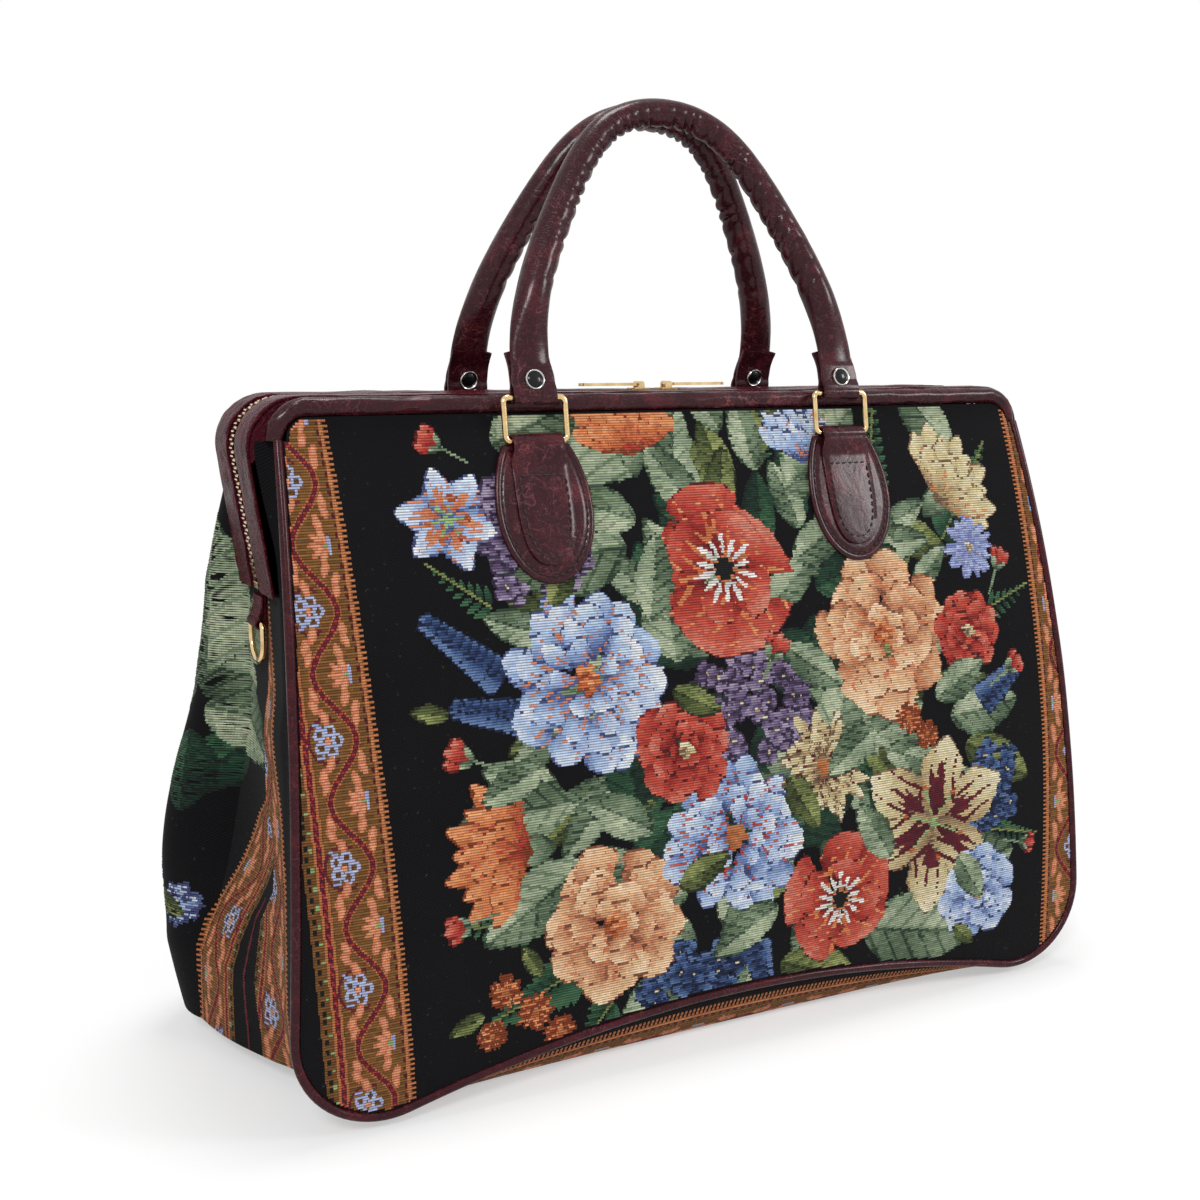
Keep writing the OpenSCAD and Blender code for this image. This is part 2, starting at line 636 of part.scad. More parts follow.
// Leather layer on the front panel with the children's outline, from rise n over the cloth and t thick
module panel_layer(n, t) {
    steps = 8;
    low = ring_z - chape_l;
    top = ring_z + loop_r;
    heights = [for (i = [0 : steps]) low + (top - low) * i / steps];
    near = [for (z = heights) [-panel_y(z) - n, z]];
    far = [for (z = reversed(heights)) [-panel_y(z) - n - t, z]];
    intersection() {
        along_x(chape_w) polygon(concat(near, far));
        along_y(-base_d, 0) children();
    }
}

// Leather chape that lies on the panel, with a tongue that loops round a ring's lower bar
function pad_half_w(d) = chape_w / 2 * sqrt(max(0, d < chape_mid
    ? 1 - pow((chape_mid - d) / chape_crown, 2) : 1 - pow((d - chape_mid) / (chape_l - chape_mid), 2)));
function tongue_half_w(d) = tongue_w / 2 * sqrt(max(0, d < tongue_taper
    ? 1 : 1 - pow((d - tongue_taper) / (tongue_l - tongue_taper), 2)));
function tag_half(from, mid, to) = concat([for (i = [0 : 6]) from + (mid - from) * i / 6],
    [for (i = [1 : 9]) mid + (to - mid) * sin(90 * i / 9)]);
module chape() {
    edge = ring_wire_r + chape_clear;
    neck = chape_loop_l / 2;
    pad = [for (d = tag_half(edge, chape_mid, chape_l)) [pad_half_w(d), ring_z - d]];
    tongue = [for (d = tag_half(edge, tongue_taper, tongue_l)) [tongue_half_w(d), ring_z - d]];
    color(leather) translate([ring_span / 2, 0, 0]) difference() {
        union() {
            panel_layer(chape_gap, chape_t) {
                polygon(whole(pad));
                translate([-neck, ring_z - 2 * edge]) square([chape_loop_l, 2 * edge + loop_r]);
            }
            panel_layer(chape_gap + chape_t / 2, chape_t / 2 + tongue_t) polygon(whole(tongue));
            translate([0, -ring_y, ring_z]) rotate([0, 90, 0])
                cylinder(r = loop_r, h = chape_loop_l, center = true);
        }
        translate([0, -ring_y, ring_z]) rotate([0, 90, 0])
            cylinder(r = ring_wire_r + loop_play, h = 2 * chape_loop_l, center = true);
    }
}

// Wire ring with two bars along X, standing on its lower bar
module ring() {
    straight = ring_mid_w - 2 * ring_corner_r;
    side = ring_h - 2 * ring_corner_r;
    color(gold) translate([ring_span / 2, -ring_y, ring_z]) rotate([-ring_lean, 0, 0]) {
        for (h = [0, ring_h]) translate([0, 0, h]) rotate([0, 90, 0])
            cylinder(r = ring_wire_r, h = straight, center = true);
        for (x = [-1, 1]) translate([x * ring_mid_w / 2, 0, ring_corner_r])
            cylinder(r = ring_wire_r, h = side);
        for (x = [0, 1], z = [0, 1]) translate([0, 0, ring_h / 2]) mirror([x, 0, 0]) mirror([0, 0, z])
            translate([straight / 2, 0, side / 2]) rotate([90, 0, 0])
                rotate_extrude(angle = 90) translate([ring_corner_r, 0]) circle(ring_wire_r);
    }
}

// Rolled handle in its own plane, with gathers along the inner seam
function handle_at(t) = [ring_span / 2 * cos(t) * (1 - arch_squeeze * pow(sin(2 * t), 2)), 0,
    handle_foot + (handle_h - handle_foot) * sin(t)];
handle_path = [for (i = [0 : handle_rings]) handle_at(180 * i / handle_rings)];
module handle_roll() {
    n = handle_rings;
    skin([for (i = [0 : n])
        let (t = tangent(handle_path, i), a = cross(t, [0, 1, 0]), k = min(i, n - i),
            f = smooth(k / plain_rings), e = smooth(k / (n / 2)),
            r = handle_end_r + (handle_r - handle_end_r) * e,
            half_w = (1 - f) * flat_half_w + f * r, half_t = (1 - f) * flat_half_t + f * r,
            dip = k > plain_rings && i % 2 == 0 ? gather_depth : 0)
        [for (j = [0 : handle_sides - 1])
            let (b = 360 * j / handle_sides, c = cos(b), s = sin(b), w = pow(max(c, 0), 2) * dip)
            handle_path[i] + (half_w * c - w) * a + half_t * s * [0, 1, 0]]]);
}

// Places the children in the plane of the front handle, at the ring's upper bar
module on_handle() {
    translate([0, -bar_y, bar_z]) rotate([-handle_lean, 0, 0]) children();
}

module handle() {
    color(leather) on_handle() difference() {
        union() {
            handle_roll();
            for (x = [-1, 1]) translate([x * ring_span / 2, 0, 0]) {
                rotate([0, 90, 0]) cylinder(r = loop_r, h = strap_w, center = true);
                translate([-strap_w / 2, -strap_t / 2, 0]) cube([strap_w, strap_t, strap_l]);
            }
        }
        for (x = [-1, 1]) translate([x * ring_span / 2, 0, 0]) {
            rotate([0, 90, 0]) cylinder(r = ring_wire_r + loop_play, h = 2 * strap_w, center = true);
            translate([0, 0, rivet_rise]) rotate([90, 0, 0])
                cylinder(r = post_r + post_play, h = 4 * strap_t, center = true);
        }
    }
}

// Rivet through a handle end, with a domed cap on each face
module rivet() {
    reach = strap_t / 2 + post_play;
    dome_r = (pow(rivet_r, 2) + pow(rivet_h, 2)) / (2 * rivet_h);
    color(black_metal) on_handle() translate([ring_span / 2, 0, rivet_rise]) rotate([90, 0, 0]) {
        cylinder(r = post_r, h = 2 * reach + rivet_h, center = true);
        for (side = [0, 1]) mirror([0, 0, side]) translate([0, 0, reach]) intersection() {
            cylinder(r = rivet_r, h = rivet_h);
            translate([0, 0, rivet_h - dome_r]) sphere(dome_r, $fn = 64);
        }
    }
}

module to_back() { mirror([0, 1, 0]) children(); }
module to_left() { mirror([1, 0, 0]) children(); }

front_panel();
to_back() front_panel();  // back_panel
to_left() gusset();  // left_gusset
gusset();  // right_gusset
base_panel();
base_board();
piping();  // front_piping
to_back() piping();  // back_piping
rim();  // front_rim
to_back() rim();  // back_rim
rim_core();  // front_rim_core
to_back() rim_core();  // back_rim_core
facing();  // front_facing
to_back() facing();  // back_facing
zip_tape();  // front_zip_tape
to_back() zip_tape();  // back_zip_tape
zip_teeth(0);  // front_zip_teeth
to_back() zip_teeth(0.5);  // back_zip_teeth
to_left() zip_stop();  // left_zip_stop
zip_stop();  // right_zip_stop
to_left() slider();  // left_slider
slider();  // right_slider
to_left() pull();  // left_pull
pull();  // right_pull
to_left() d_tab();  // left_d_tab
d_tab();  // right_d_tab
to_left() d_ring();  // left_d_ring
d_ring();  // right_d_ring
to_left() chape();  // front_left_chape
chape();  // front_right_chape
to_back() to_left() chape();  // back_left_chape
to_back() chape();  // back_right_chape
to_left() ring();  // front_left_ring
ring();  // front_right_ring
to_back() to_left() ring();  // back_left_ring
to_back() ring();  // back_right_ring
handle();  // front_handle
to_back() handle();  // back_handle
to_left() rivet();  // front_left_rivet
rivet();  // front_right_rivet
to_back() to_left() rivet();  // back_left_rivet
to_back() rivet();  // back_right_rivet
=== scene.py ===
"""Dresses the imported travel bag: tapestry, leather, zip and metal, with a studio and a camera."""
import math
from math import cos, pi, radians, sin

import bpy
import numpy as np
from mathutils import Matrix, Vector


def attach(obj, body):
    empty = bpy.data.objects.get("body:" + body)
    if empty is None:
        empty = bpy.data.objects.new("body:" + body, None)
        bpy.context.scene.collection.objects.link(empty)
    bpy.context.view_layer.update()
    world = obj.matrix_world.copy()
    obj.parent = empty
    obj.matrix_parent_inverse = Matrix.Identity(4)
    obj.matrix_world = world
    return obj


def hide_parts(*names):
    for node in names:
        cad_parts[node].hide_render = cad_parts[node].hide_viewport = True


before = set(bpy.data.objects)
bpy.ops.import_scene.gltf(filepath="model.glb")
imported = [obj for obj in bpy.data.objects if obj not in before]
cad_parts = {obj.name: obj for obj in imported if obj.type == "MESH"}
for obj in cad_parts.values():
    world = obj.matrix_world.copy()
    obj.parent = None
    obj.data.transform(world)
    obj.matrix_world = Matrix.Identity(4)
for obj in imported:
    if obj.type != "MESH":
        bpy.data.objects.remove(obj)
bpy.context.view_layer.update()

# Sizes of the part, in millimetres and radians
MM = 0.001
RIM_H, BODY_W, TOP_W = 350.0, 492.0, 457.0
HALF_BASE, HALF_RIM, LEAN = 101.0, 39.0, 2.4
WALL, SEAM_GAP = 3.0, 0.5
CORNER_R, CORNER_LOW, BOTTOM_SLOPE = 45.0, 7.0, radians(13.5)
END_BULGE, END_DIP, END_SKEW = 5.0, 8.0, 10.0
FRONT_TUCK, PLEAT_IN = 5.0, 4.0
LOBE_BACK, LOBE_TOP, LOBE_Z = 30.0, 15.0, 100.0
LOBE_SLIM, SLIM_TOP, SLIM_FADE = 0.36, 105.0, 85.0
FLAT_X, BASE_EDGE = 0.87, 1.0
PUFF, PUFF_TOP, PUFF_FADE, PUFF_SIDE, PUFF_FOOT = 1.5, 250.0, 120.0, 60.0, 45.0
PIPE_R, PIPE_SET, PIPE_GAP = 2.4, 0.8, 0.2
RIM_R, RIM_BEND, RIM_INSET = 4.6, 16.0, 4.9
ZIP_Z, TURN_R, OVERHANG, SLANT, ZIP_DROP = 353.0, 24.0, 11.5, radians(8.0), 70.0
FACING_FROM, FACING_TO, FACING_T, FACING_N = 8.0, 34.1, 1.6, 0.5
TAPE_FROM, TAPE_W, TAPE_T = 4.3, 10.0, 0.8
NOTCH_GAP, ZIP_SEAT = 0.5, 1.5
FOLD_T, FOLD_BOW, FOLD_TURN = 1.2, 1.6, radians(104)
D_WIRE_R, D_W, D_SIDE, D_DROP = 1.5, 25.0, 8.0, 17.0
D_TAB_W, D_TAB_T, D_TAB_H = 18.0, 1.5, 14.0
LOOP_PLAY, LOOP_T, WIRE_R, SKIN_GAP = 0.3, 2.0, 1.6, 0.02
RING_SPAN, RING_DROP, RING_H, RING_LEAN = 192.0, 19.0, 22.5, radians(8.5)
CHAPE_GAP, CHAPE_T, CHAPE_W, CHAPE_L, CHAPE_LOOP = 0.3, 2.4, 54.6, 72.0, 28.5
CHAPE_MID, CHAPE_CROWN, CHAPE_EDGE = 35.0, 45.0, 2.2
TONGUE_W, TONGUE_L, TONGUE_TAPER, TONGUE_T = 32.0, 62.0, 22.0, 1.6
PAD_SEAM, TONGUE_SEAM, BAR_SEAM = 3.7, 3.1, 18.5
HANDLE_H, HANDLE_R, HANDLE_END_R, HANDLE_GAP, HANDLE_FOOT = 158.0, 7.5, 9.3, 0.6, 18.0
ARCH_SQUEEZE, GATHERS, GATHER_DEPTH, CREASE_DEPTH, SEAM_LIP = 0.12, 34, 2.0, 0.4, 0.5
STRAP_W, STRAP_T, STRAP_L = 24.0, 5.4, 26.0
RIVET_RISE, RIVET_R, RIVET_H, POST_PLAY = 8.5, 5.5, 2.2, 0.15
X_AXIS, Y_AXIS, Z_AXIS = np.eye(3)


def smooth(t):
    """Soft step from 0 to 1."""
    c = np.clip(t, 0.0, 1.0)
    return c * c * (3 - 2 * c)


def root(t):
    """Square root, with 0 for what is below 0."""
    return np.sqrt(np.maximum(t, 0))


# Form of the part
CORNER_CZ = CORNER_LOW + CORNER_R
SIDE_SLOPE = (BODY_W - TOP_W) / 2 / (RIM_H - CORNER_CZ)
SIDE_ANGLE = math.atan(SIDE_SLOPE)
CORNER_CX = BODY_W / 2 - CORNER_R / cos(SIDE_ANGLE)
ARCH_X = CORNER_CX - CORNER_R * sin(BOTTOM_SLOPE)
ARCH_Z = CORNER_CZ - CORNER_R * cos(BOTTOM_SLOPE)
ARCH_RISE = ARCH_X * math.tan(BOTTOM_SLOPE) / 2
SEAM_TOP = RIM_H - RIM_BEND
SIDE_FOOT = CORNER_CZ + CORNER_R * sin(SIDE_ANGLE)
ZIP_CX = TOP_W / 2 + OVERHANG - TURN_R
ZIP_CZ = ZIP_Z - TURN_R
ZIP_FOOT = ZIP_CZ - TURN_R * sin(SLANT) - ZIP_DROP * cos(SLANT)


def panel_y(z):
    """Distance of the broad panels from the middle plane."""
    return HALF_BASE - (HALF_BASE - HALF_RIM) * np.power(np.maximum(z, 0) / RIM_H, LEAN)


def seam_x(z):
    return BODY_W / 2 - SIDE_SLOPE * (z - CORNER_CZ)


def side_x(z):
    """Side seam with its round corner below."""
    arc = CORNER_CX + root(CORNER_R ** 2 - np.square(CORNER_CZ - z))
    return np.where(z >= SIDE_FOOT, seam_x(z), arc)


def bottom_z(x):
    return ARCH_Z + ARCH_RISE * (1 - np.square(x / ARCH_X))


def seam_z(x, inset=0.0):
    """Height of the bottom seam, round corners included, moved in by inset."""
    arc = CORNER_CZ - root((CORNER_R - inset) ** 2 - np.square(np.abs(x) - CORNER_CX))
    return np.where(np.abs(x) < ARCH_X, bottom_z(x) + inset, arc)


RIM_CX = seam_x(SEAM_TOP) - RIM_BEND
RIM_CZ = RIM_H - RIM_BEND


def seam_line(sides=36, corner=20, bottom=36):
    """Seam of a broad panel as (x, z) points, from the right end of the rim to the left end."""
    half = [(seam_x(z), z) for z in np.linspace(SEAM_TOP, SIDE_FOOT, sides, endpoint=False)]
    for a in np.linspace(SIDE_ANGLE, -pi / 2 - BOTTOM_SLOPE, corner, endpoint=False):
        half.append((CORNER_CX + CORNER_R * cos(a), CORNER_CZ + CORNER_R * sin(a)))
    half += [(x, float(bottom_z(x))) for x in np.linspace(ARCH_X, 0, bottom)]
    return half + [(-x, z) for x, z in reversed(half) if x > 0.001]


def zip_path(n, steps=24, top_steps=40):
    """Zip line at height n over the chain, right foot to left foot, as rows of x, z and their normal."""
    r, foot = TURN_R + n, -SLANT
    turn_foot = np.array([ZIP_CX + r * cos(foot), ZIP_CZ + r * sin(foot)])
    down = np.array([-sin(SLANT), -cos(SLANT)])
    half = []
    for drop in np.linspace(ZIP_DROP, 0, steps, endpoint=False):
        half.append((*(turn_foot + drop * down), cos(foot), sin(foot)))
    for a in np.linspace(foot, pi / 2, steps, endpoint=False):
        half.append((ZIP_CX + r * cos(a), ZIP_CZ + r * sin(a), cos(a), sin(a)))
    half += [(x, ZIP_Z + n, 0.0, 1.0) for x in np.linspace(ZIP_CX, 0, top_steps)]
    return np.array(half + [(-x, z, -nx, nz) for x, z, nx, nz in reversed(half) if x > 0.001])


def chain_x(z):
    turn_z = ZIP_CZ - TURN_R * sin(SLANT)
    turn_x = ZIP_CX + TURN_R * cos(SLANT)
    on_turn = ZIP_CX + root(TURN_R ** 2 - np.square(z - ZIP_CZ))
    return np.where(z > turn_z, on_turn, turn_x - (turn_z - z) * math.tan(SLANT))


NOTCH_Y = FACING_TO + NOTCH_GAP
NOTCH_Z = ZIP_FOOT - SEAM_GAP
EDGE_Y_GAP = PIPE_SET + PIPE_R + 2 * PIPE_GAP
END_LOW_ANGLE = -pi / 4
END_LOW_X = CORNER_CX + CORNER_R * cos(END_LOW_ANGLE)
END_LOW_Z = CORNER_CZ + CORNER_R * sin(END_LOW_ANGLE)
END_FOLD_X = float(chain_x(NOTCH_Z)) - ZIP_SEAT
D_BAR_Z = ZIP_FOOT - D_DROP
FOLD_Z = D_BAR_Z - D_SIDE - D_W / 2 - 2 * D_WIRE_R
BULGE_X = BODY_W / 2 + END_BULGE


def end_share(z):
    """Share of the bulge that the middle of an end has at height z."""
    return np.square(np.clip((FOLD_Z - z) / (FOLD_Z - SIDE_FOOT), 0, 1))


def end_mid_x(z):
    low = END_FOLD_X + (BULGE_X - END_FOLD_X) * end_share(z)
    return np.where(z >= NOTCH_Z, chain_x(z) - ZIP_SEAT, low)


def end_lobe(z, y):
    """Bulge of the front strip, where y is negative, or of the back strip."""
    slim = LOBE_BACK * (1 - LOBE_SLIM * smooth((SLIM_TOP - z) / SLIM_FADE))
    high, full = np.where(y < 0, -FRONT_TUCK, LOBE_TOP), np.where(y < 0, -FRONT_TUCK, slim)
    over = high - (high + PLEAT_IN) * (z - NOTCH_Z) / (SEAM_TOP - NOTCH_Z)
    under = high + (full - high) * smooth((NOTCH_Z - z) / (NOTCH_Z - LOBE_Z))
    return np.where(z >= NOTCH_Z, over, under)


def strip_share(y, ye):
    """0 on the middle of an end, rising to 1 at its seams."""
    return np.clip((np.abs(y) - NOTCH_Y) / (ye - NOTCH_Y), 0, 1)


def end_x(z, y, ye, xe):
    s = strip_share(y, ye)
    turn = END_SKEW * end_share(z) * np.clip(y / NOTCH_Y, -1, 1)
    return (1 - s) * (end_mid_x(z) + turn) + s * (xe - SEAM_GAP) + end_lobe(z, y) * 4 * s * (1 - s)


def end_dip_share(z):
    """Share of the sag between the corners of an end, full at its foot."""
    angle = np.arcsin(np.clip((z - CORNER_CZ) / CORNER_R, -1, 1))
    low = 1 - 0.75 * (angle - END_LOW_ANGLE) / (SIDE_ANGLE - END_LOW_ANGLE)
    high = 0.25 * (1 - (z - SIDE_FOOT) / ((FOLD_Z - SIDE_FOOT) / 5))
    return np.clip(np.where(z < SIDE_FOOT, low, high), 0, 1)


def end_y(z):
    return panel_y(z) - EDGE_Y_GAP


def end_surface(y, z):
    """Point of the right end panel's outer face for column y and row height z."""
    ye = end_y(z)
    x = end_x(z, y, ye, side_x(z))
    # Slack folds, calm near the seams and round the D-ring
    calm = smooth((SEAM_TOP - z) / 90) * (1 - strip_share(y, ye) ** 4)
    calm = calm * smooth((np.abs(z - D_BAR_Z + 8) - 22) / 30)
    x = x + calm * (1.6 * np.sin(z / 23 + y / 31) + 1.2 * np.sin(y / 17 - z / 41 + 1.3))
    return np.stack([x, y + 0 * z, z - END_DIP * end_dip_share(z) * (1 - np.square(y / ye))], -1)


BASE_Y = float(panel_y(CORNER_LOW)) - EDGE_Y_GAP - PIPE_GAP
BASE_INSET = WALL + SEAM_GAP
FLAT_Y = (NOTCH_Y + (BASE_Y - NOTCH_Y) * 0.6) / BASE_Y


def base_end_x(v):
    return end_x(END_LOW_Z, v * BASE_Y, BASE_Y, END_LOW_X) - BASE_INSET


def base_surface(w, v):
    """Point of the base's outer face for shares w of its length and v of its depth, both from -1 to 1."""
    x = w * base_end_x(v)
    past = lambda share, flat: np.square(np.maximum(0, (np.abs(share) - flat) / (1 - flat)))
    front = (seam_z(x) - BASE_EDGE) * past(v, FLAT_Y)
    end = (END_LOW_Z - END_DIP * (1 - v * v)) * past(w, FLAT_X)
    return np.stack([x, v * BASE_Y + 0 * w, np.maximum(front, end)], -1)


def panel_surface(x, z):
    """Point of the front panel's outer face, with its soft puffs."""
    low = smooth((PUFF_TOP - z) / PUFF_FADE) * smooth((BODY_W / 2 - np.abs(x)) / PUFF_SIDE)
    low = low * smooth((z - seam_z(x)) / PUFF_FOOT)
    puff = low * (PUFF + 0.9 * np.sin(x / 43 + z / 71) + 0.7 * np.sin(z / 37 - x / 59 + 0.8))
    return np.stack([x + 0 * z, -panel_y(z) - puff, z + 0 * x], -1)


# Mesh making; a part is (points in millimetres, faces)
def mirrored(part):
    """The same part at the other end of the bag."""
    points, faces = part
    return np.asarray(points, float) * (-1, 1, 1), [list(f)[::-1] for f in faces]


def turned(part):
    """The same part on the opposite side of the bag, half a turn about the vertical."""
    points, faces = part
    return np.asarray(points, float) * (-1, -1, 1), faces


# Front and back: how a front part gets there, and the names of its ends from low x to high x
FACES = {"front": (lambda part: part, ("left", "right")), "back": (turned, ("right", "left"))}


def show(name, mesh, materials, body):
    """Object of a finished mesh that rides a body; a node of its name is replaced by it."""
    mesh.validate()
    mesh.shade_smooth()
    obj = bpy.data.objects.new(name, mesh)
    bpy.context.scene.collection.objects.link(obj)
    for material in materials:
        mesh.materials.append(material)
    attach(obj, body)
    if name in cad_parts:
        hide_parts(name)
    return obj


def link(name, part, *materials, slot="leather", body="root"):
    """New mesh object of a part, in the row frame."""
    points, faces = part
    mesh = bpy.data.meshes.new(name)
    mesh.from_pydata((np.asarray(points, float) * MM).tolist(), [], [list(map(int, f)) for f in faces])
    obj = show(name, mesh, materials, body)
    mesh.set_sharp_from_angle(angle=radians(40))
    return obj


def link_pair(name, part, material, slot="leather"):
    """A front piece and its twin at the back."""
    return [link(f"{face}_{name}", place(part), material, slot=slot) for face, (place, _) in FACES.items()]


def shell(outer, inner, keep=None):
    """Closed solid between two grids of points; keep marks the cells that exist."""
    rows, cols = outer.shape[:2]
    keep = np.ones((rows - 1, cols - 1), bool) if keep is None else keep
    points = np.concatenate([outer.reshape(-1, 3), inner.reshape(-1, 3)])
    k = rows * cols
    has = lambda i, j: 0 <= i < rows - 1 and 0 <= j < cols - 1 and keep[i, j]
    faces = []
    for i, j in zip(*np.nonzero(keep)):
        a, b = i * cols + j, (i + 1) * cols + j
        c, d = b + 1, a + 1
        faces += [(a, b, c, d), (k + a, k + d, k + c, k + b)]
        walls = ((a, d, i - 1, j), (c, b, i + 1, j), (b, a, i, j - 1), (d, c, i, j + 1))
        faces += [(p, q, k + q, k + p) for p, q, *beside in walls if not has(*beside)]
    used, index = np.unique(np.array(faces), return_inverse=True)
    return points[used], index.reshape(-1, 4)


def loft(rings):
    """Closed skin through rings of points."""
    rings = np.asarray(rings, float)
    n, m = rings.shape[:2]
    faces = []
    for i in range(n - 1):
        for k in range(m):
            a, b = i * m + k, i * m + (k + 1) % m
            faces.append((a, b, b + m, a + m))
    faces.append(tuple(range(m - 1, -1, -1)))
    faces.append(tuple((n - 1) * m + k for k in range(m)))
    return rings.reshape(-1, 3), faces


def unit(v):
    return v / np.maximum(np.linalg.norm(v, axis=-1, keepdims=True), 1e-9)


def tangents(path):
    path = np.asarray(path, float)
    t = np.empty_like(path)
    t[1:-1] = path[2:] - path[:-2]
    t[0], t[-1] = path[1] - path[0], path[-1] - path[-2]
    return unit(t)


def around(sides):
    return np.linspace(0, 2 * np.pi, sides, endpoint=False)


def tube(path, radius, sides, ref=Y_AXIS):
    """Round skin along a path; radius is one for each ring, or for each ring and side."""
    path = np.asarray(path, float)
    t = tangents(path)
    ref = np.broadcast_to(ref, path.shape)
    a = unit(ref - (ref * t).sum(-1, keepdims=True) * t)
    b = np.cross(t, a)
    k = around(sides)[:, None]
    r = np.broadcast_to(radius[:, None] if radius.ndim == 1 else radius, (len(path), sides))
    return loft(path[:, None] + r[..., None] * (np.cos(k) * a[:, None] + np.sin(k) * b[:, None]))


def ribbon(centre, normal, side, half_w, half_t, sides=20, power=6.0):
    """Flat strap along a path, with a rounded rectangle as its section."""
    normal = unit(normal)
    side = np.broadcast_to(side, centre.shape)
    k = around(sides) + np.pi / sides
    c, s = np.cos(k), np.sin(k)
    scale = (np.abs(c) ** power + np.abs(s) ** power) ** (-1 / power)
    w, t = (np.broadcast_to(half, len(centre))[:, None, None] for half in (half_w, half_t))
    spread = (c * scale)[:, None] * w * side[:, None]
    rise = (s * scale)[:, None] * t * normal[:, None]
    points, faces = loft(centre[:, None] + spread + rise)
    outward = (np.cross(normal, tangents(centre)) * side).sum() > 0
    return points, faces if outward else [f[::-1] for f in faces]


def merge(*parts):
    points, faces, k = [], [], 0
    for p, f in parts:
        points.append(np.asarray(p, float))
        faces += [[int(i) + k for i in face] for face in f]
        k += len(p)
    return np.concatenate(points), faces


# Materials
def linear(rgb):
    """Linear colour from 0 to 255 display values."""
    c = np.asarray(rgb, float) / 255
    return tuple(np.where(c <= 0.04045, c / 12.92, ((c + 0.055) / 1.055) ** 2.4)) + (1.0,)


class Nodes:
    """Short calls for the shader nodes that the looks here use."""

    def __init__(self, tree):
        self.tree = tree
        tree.nodes.clear()

    def node(self, kind, inputs=(), **settings):
        """New node; inputs feeds its first sockets, in order."""
        made = self.tree.nodes.new(kind)
        for key, value in settings.items():
            setattr(made, key, value)
        for socket, value in zip(made.inputs, inputs):
            self.feed(socket, value)
        return made

    def feed(self, socket, value):
        if isinstance(value, bpy.types.NodeSocket):
            self.tree.links.new(value, socket)
        else:
            socket.default_value = value

    def math(self, operation, *values):
        return self.node("ShaderNodeMath", values, operation=operation).outputs[0]

    def sum(self, a, a_share, b, b_share):
        return self.math("ADD", self.math("MULTIPLY", a, a_share), self.math("MULTIPLY", b, b_share))

    def mix_shaders(self, share, a, b):
        return self.node("ShaderNodeMixShader", (share, a, b)).outputs[0]

    def seen(self):
        """1 on rays from the camera, and on those that mirrors or glass pass on."""
        rays = self.node("ShaderNodeLightPath").outputs
        direct = self.math("MAXIMUM", rays["Is Camera Ray"], rays["Is Glossy Ray"])
        return self.math("MAXIMUM", direct, rays["Is Transmission Ray"])


class Look(Nodes):
    """One material, with its shader and its place in the object."""

    def __init__(self, name):
        self.material = bpy.data.materials.new(name)
        self.material.use_nodes = True
        super().__init__(self.material.node_tree)
        self.shader = self.node("ShaderNodeBsdfPrincipled")
        self.out = self.node("ShaderNodeOutputMaterial", [self.shader.outputs[0]])
        self.place = self.node("ShaderNodeTexCoord").outputs["Object"]

    def set(self, **values):
        for key, value in values.items():
            self.feed(self.shader.inputs[key.replace("_", " ")], value)
        return self.material

    def scaled(self, x, y, z):
        made = self.node("ShaderNodeMapping", [self.place])
        made.inputs["Scale"].default_value = (x, y, z)
        return made.outputs[0]

    def noise(self, scale, detail=3.0, rough=0.5, vector=None, distortion=0.0, kind="FBM"):
        made = self.node("ShaderNodeTexNoise", [vector or self.place], noise_type=kind)
        settings = {"Scale": scale, "Detail": detail, "Roughness": rough, "Distortion": distortion}
        for key, value in settings.items():
            made.inputs[key].default_value = value
        return made.outputs[0]

    def cells(self, scale, vector):
        made = self.node("ShaderNodeTexVoronoi", [vector], feature="DISTANCE_TO_EDGE")
        made.inputs["Scale"].default_value = scale
        return made.outputs["Distance"]

    def axis(self, index):
        return self.node("ShaderNodeSeparateXYZ", [self.place]).outputs[index]

    def wave(self, value, pitch):
        """Sine of a length in metres, once for each pitch, from 0 to 1."""
        turn = self.math("MULTIPLY", value, 2 * pi / pitch)
        return self.math("MULTIPLY_ADD", self.math("SINE", turn), 0.5, 0.5)

    def mix(self, share, a, b):
        made = self.node("ShaderNodeMix", data_type="RGBA")
        for socket, value in ((0, share), (6, a), (7, b)):
            self.feed(made.inputs[socket], value)
        return made.outputs[2]

    def ramp(self, value, low, high, to_low=0.0, to_high=1.0):
        return self.node("ShaderNodeMapRange", (value, low, high, to_low, to_high)).outputs[0]

    def bump(self, height, strength, distance, below=None):
        made = self.node("ShaderNodeBump")
        values = {"Strength": strength, "Distance": distance, "Height": height}
        if below:
            values["Normal"] = below
        for key, value in values.items():
            self.feed(made.inputs[key], value)
        return made.outputs[0]


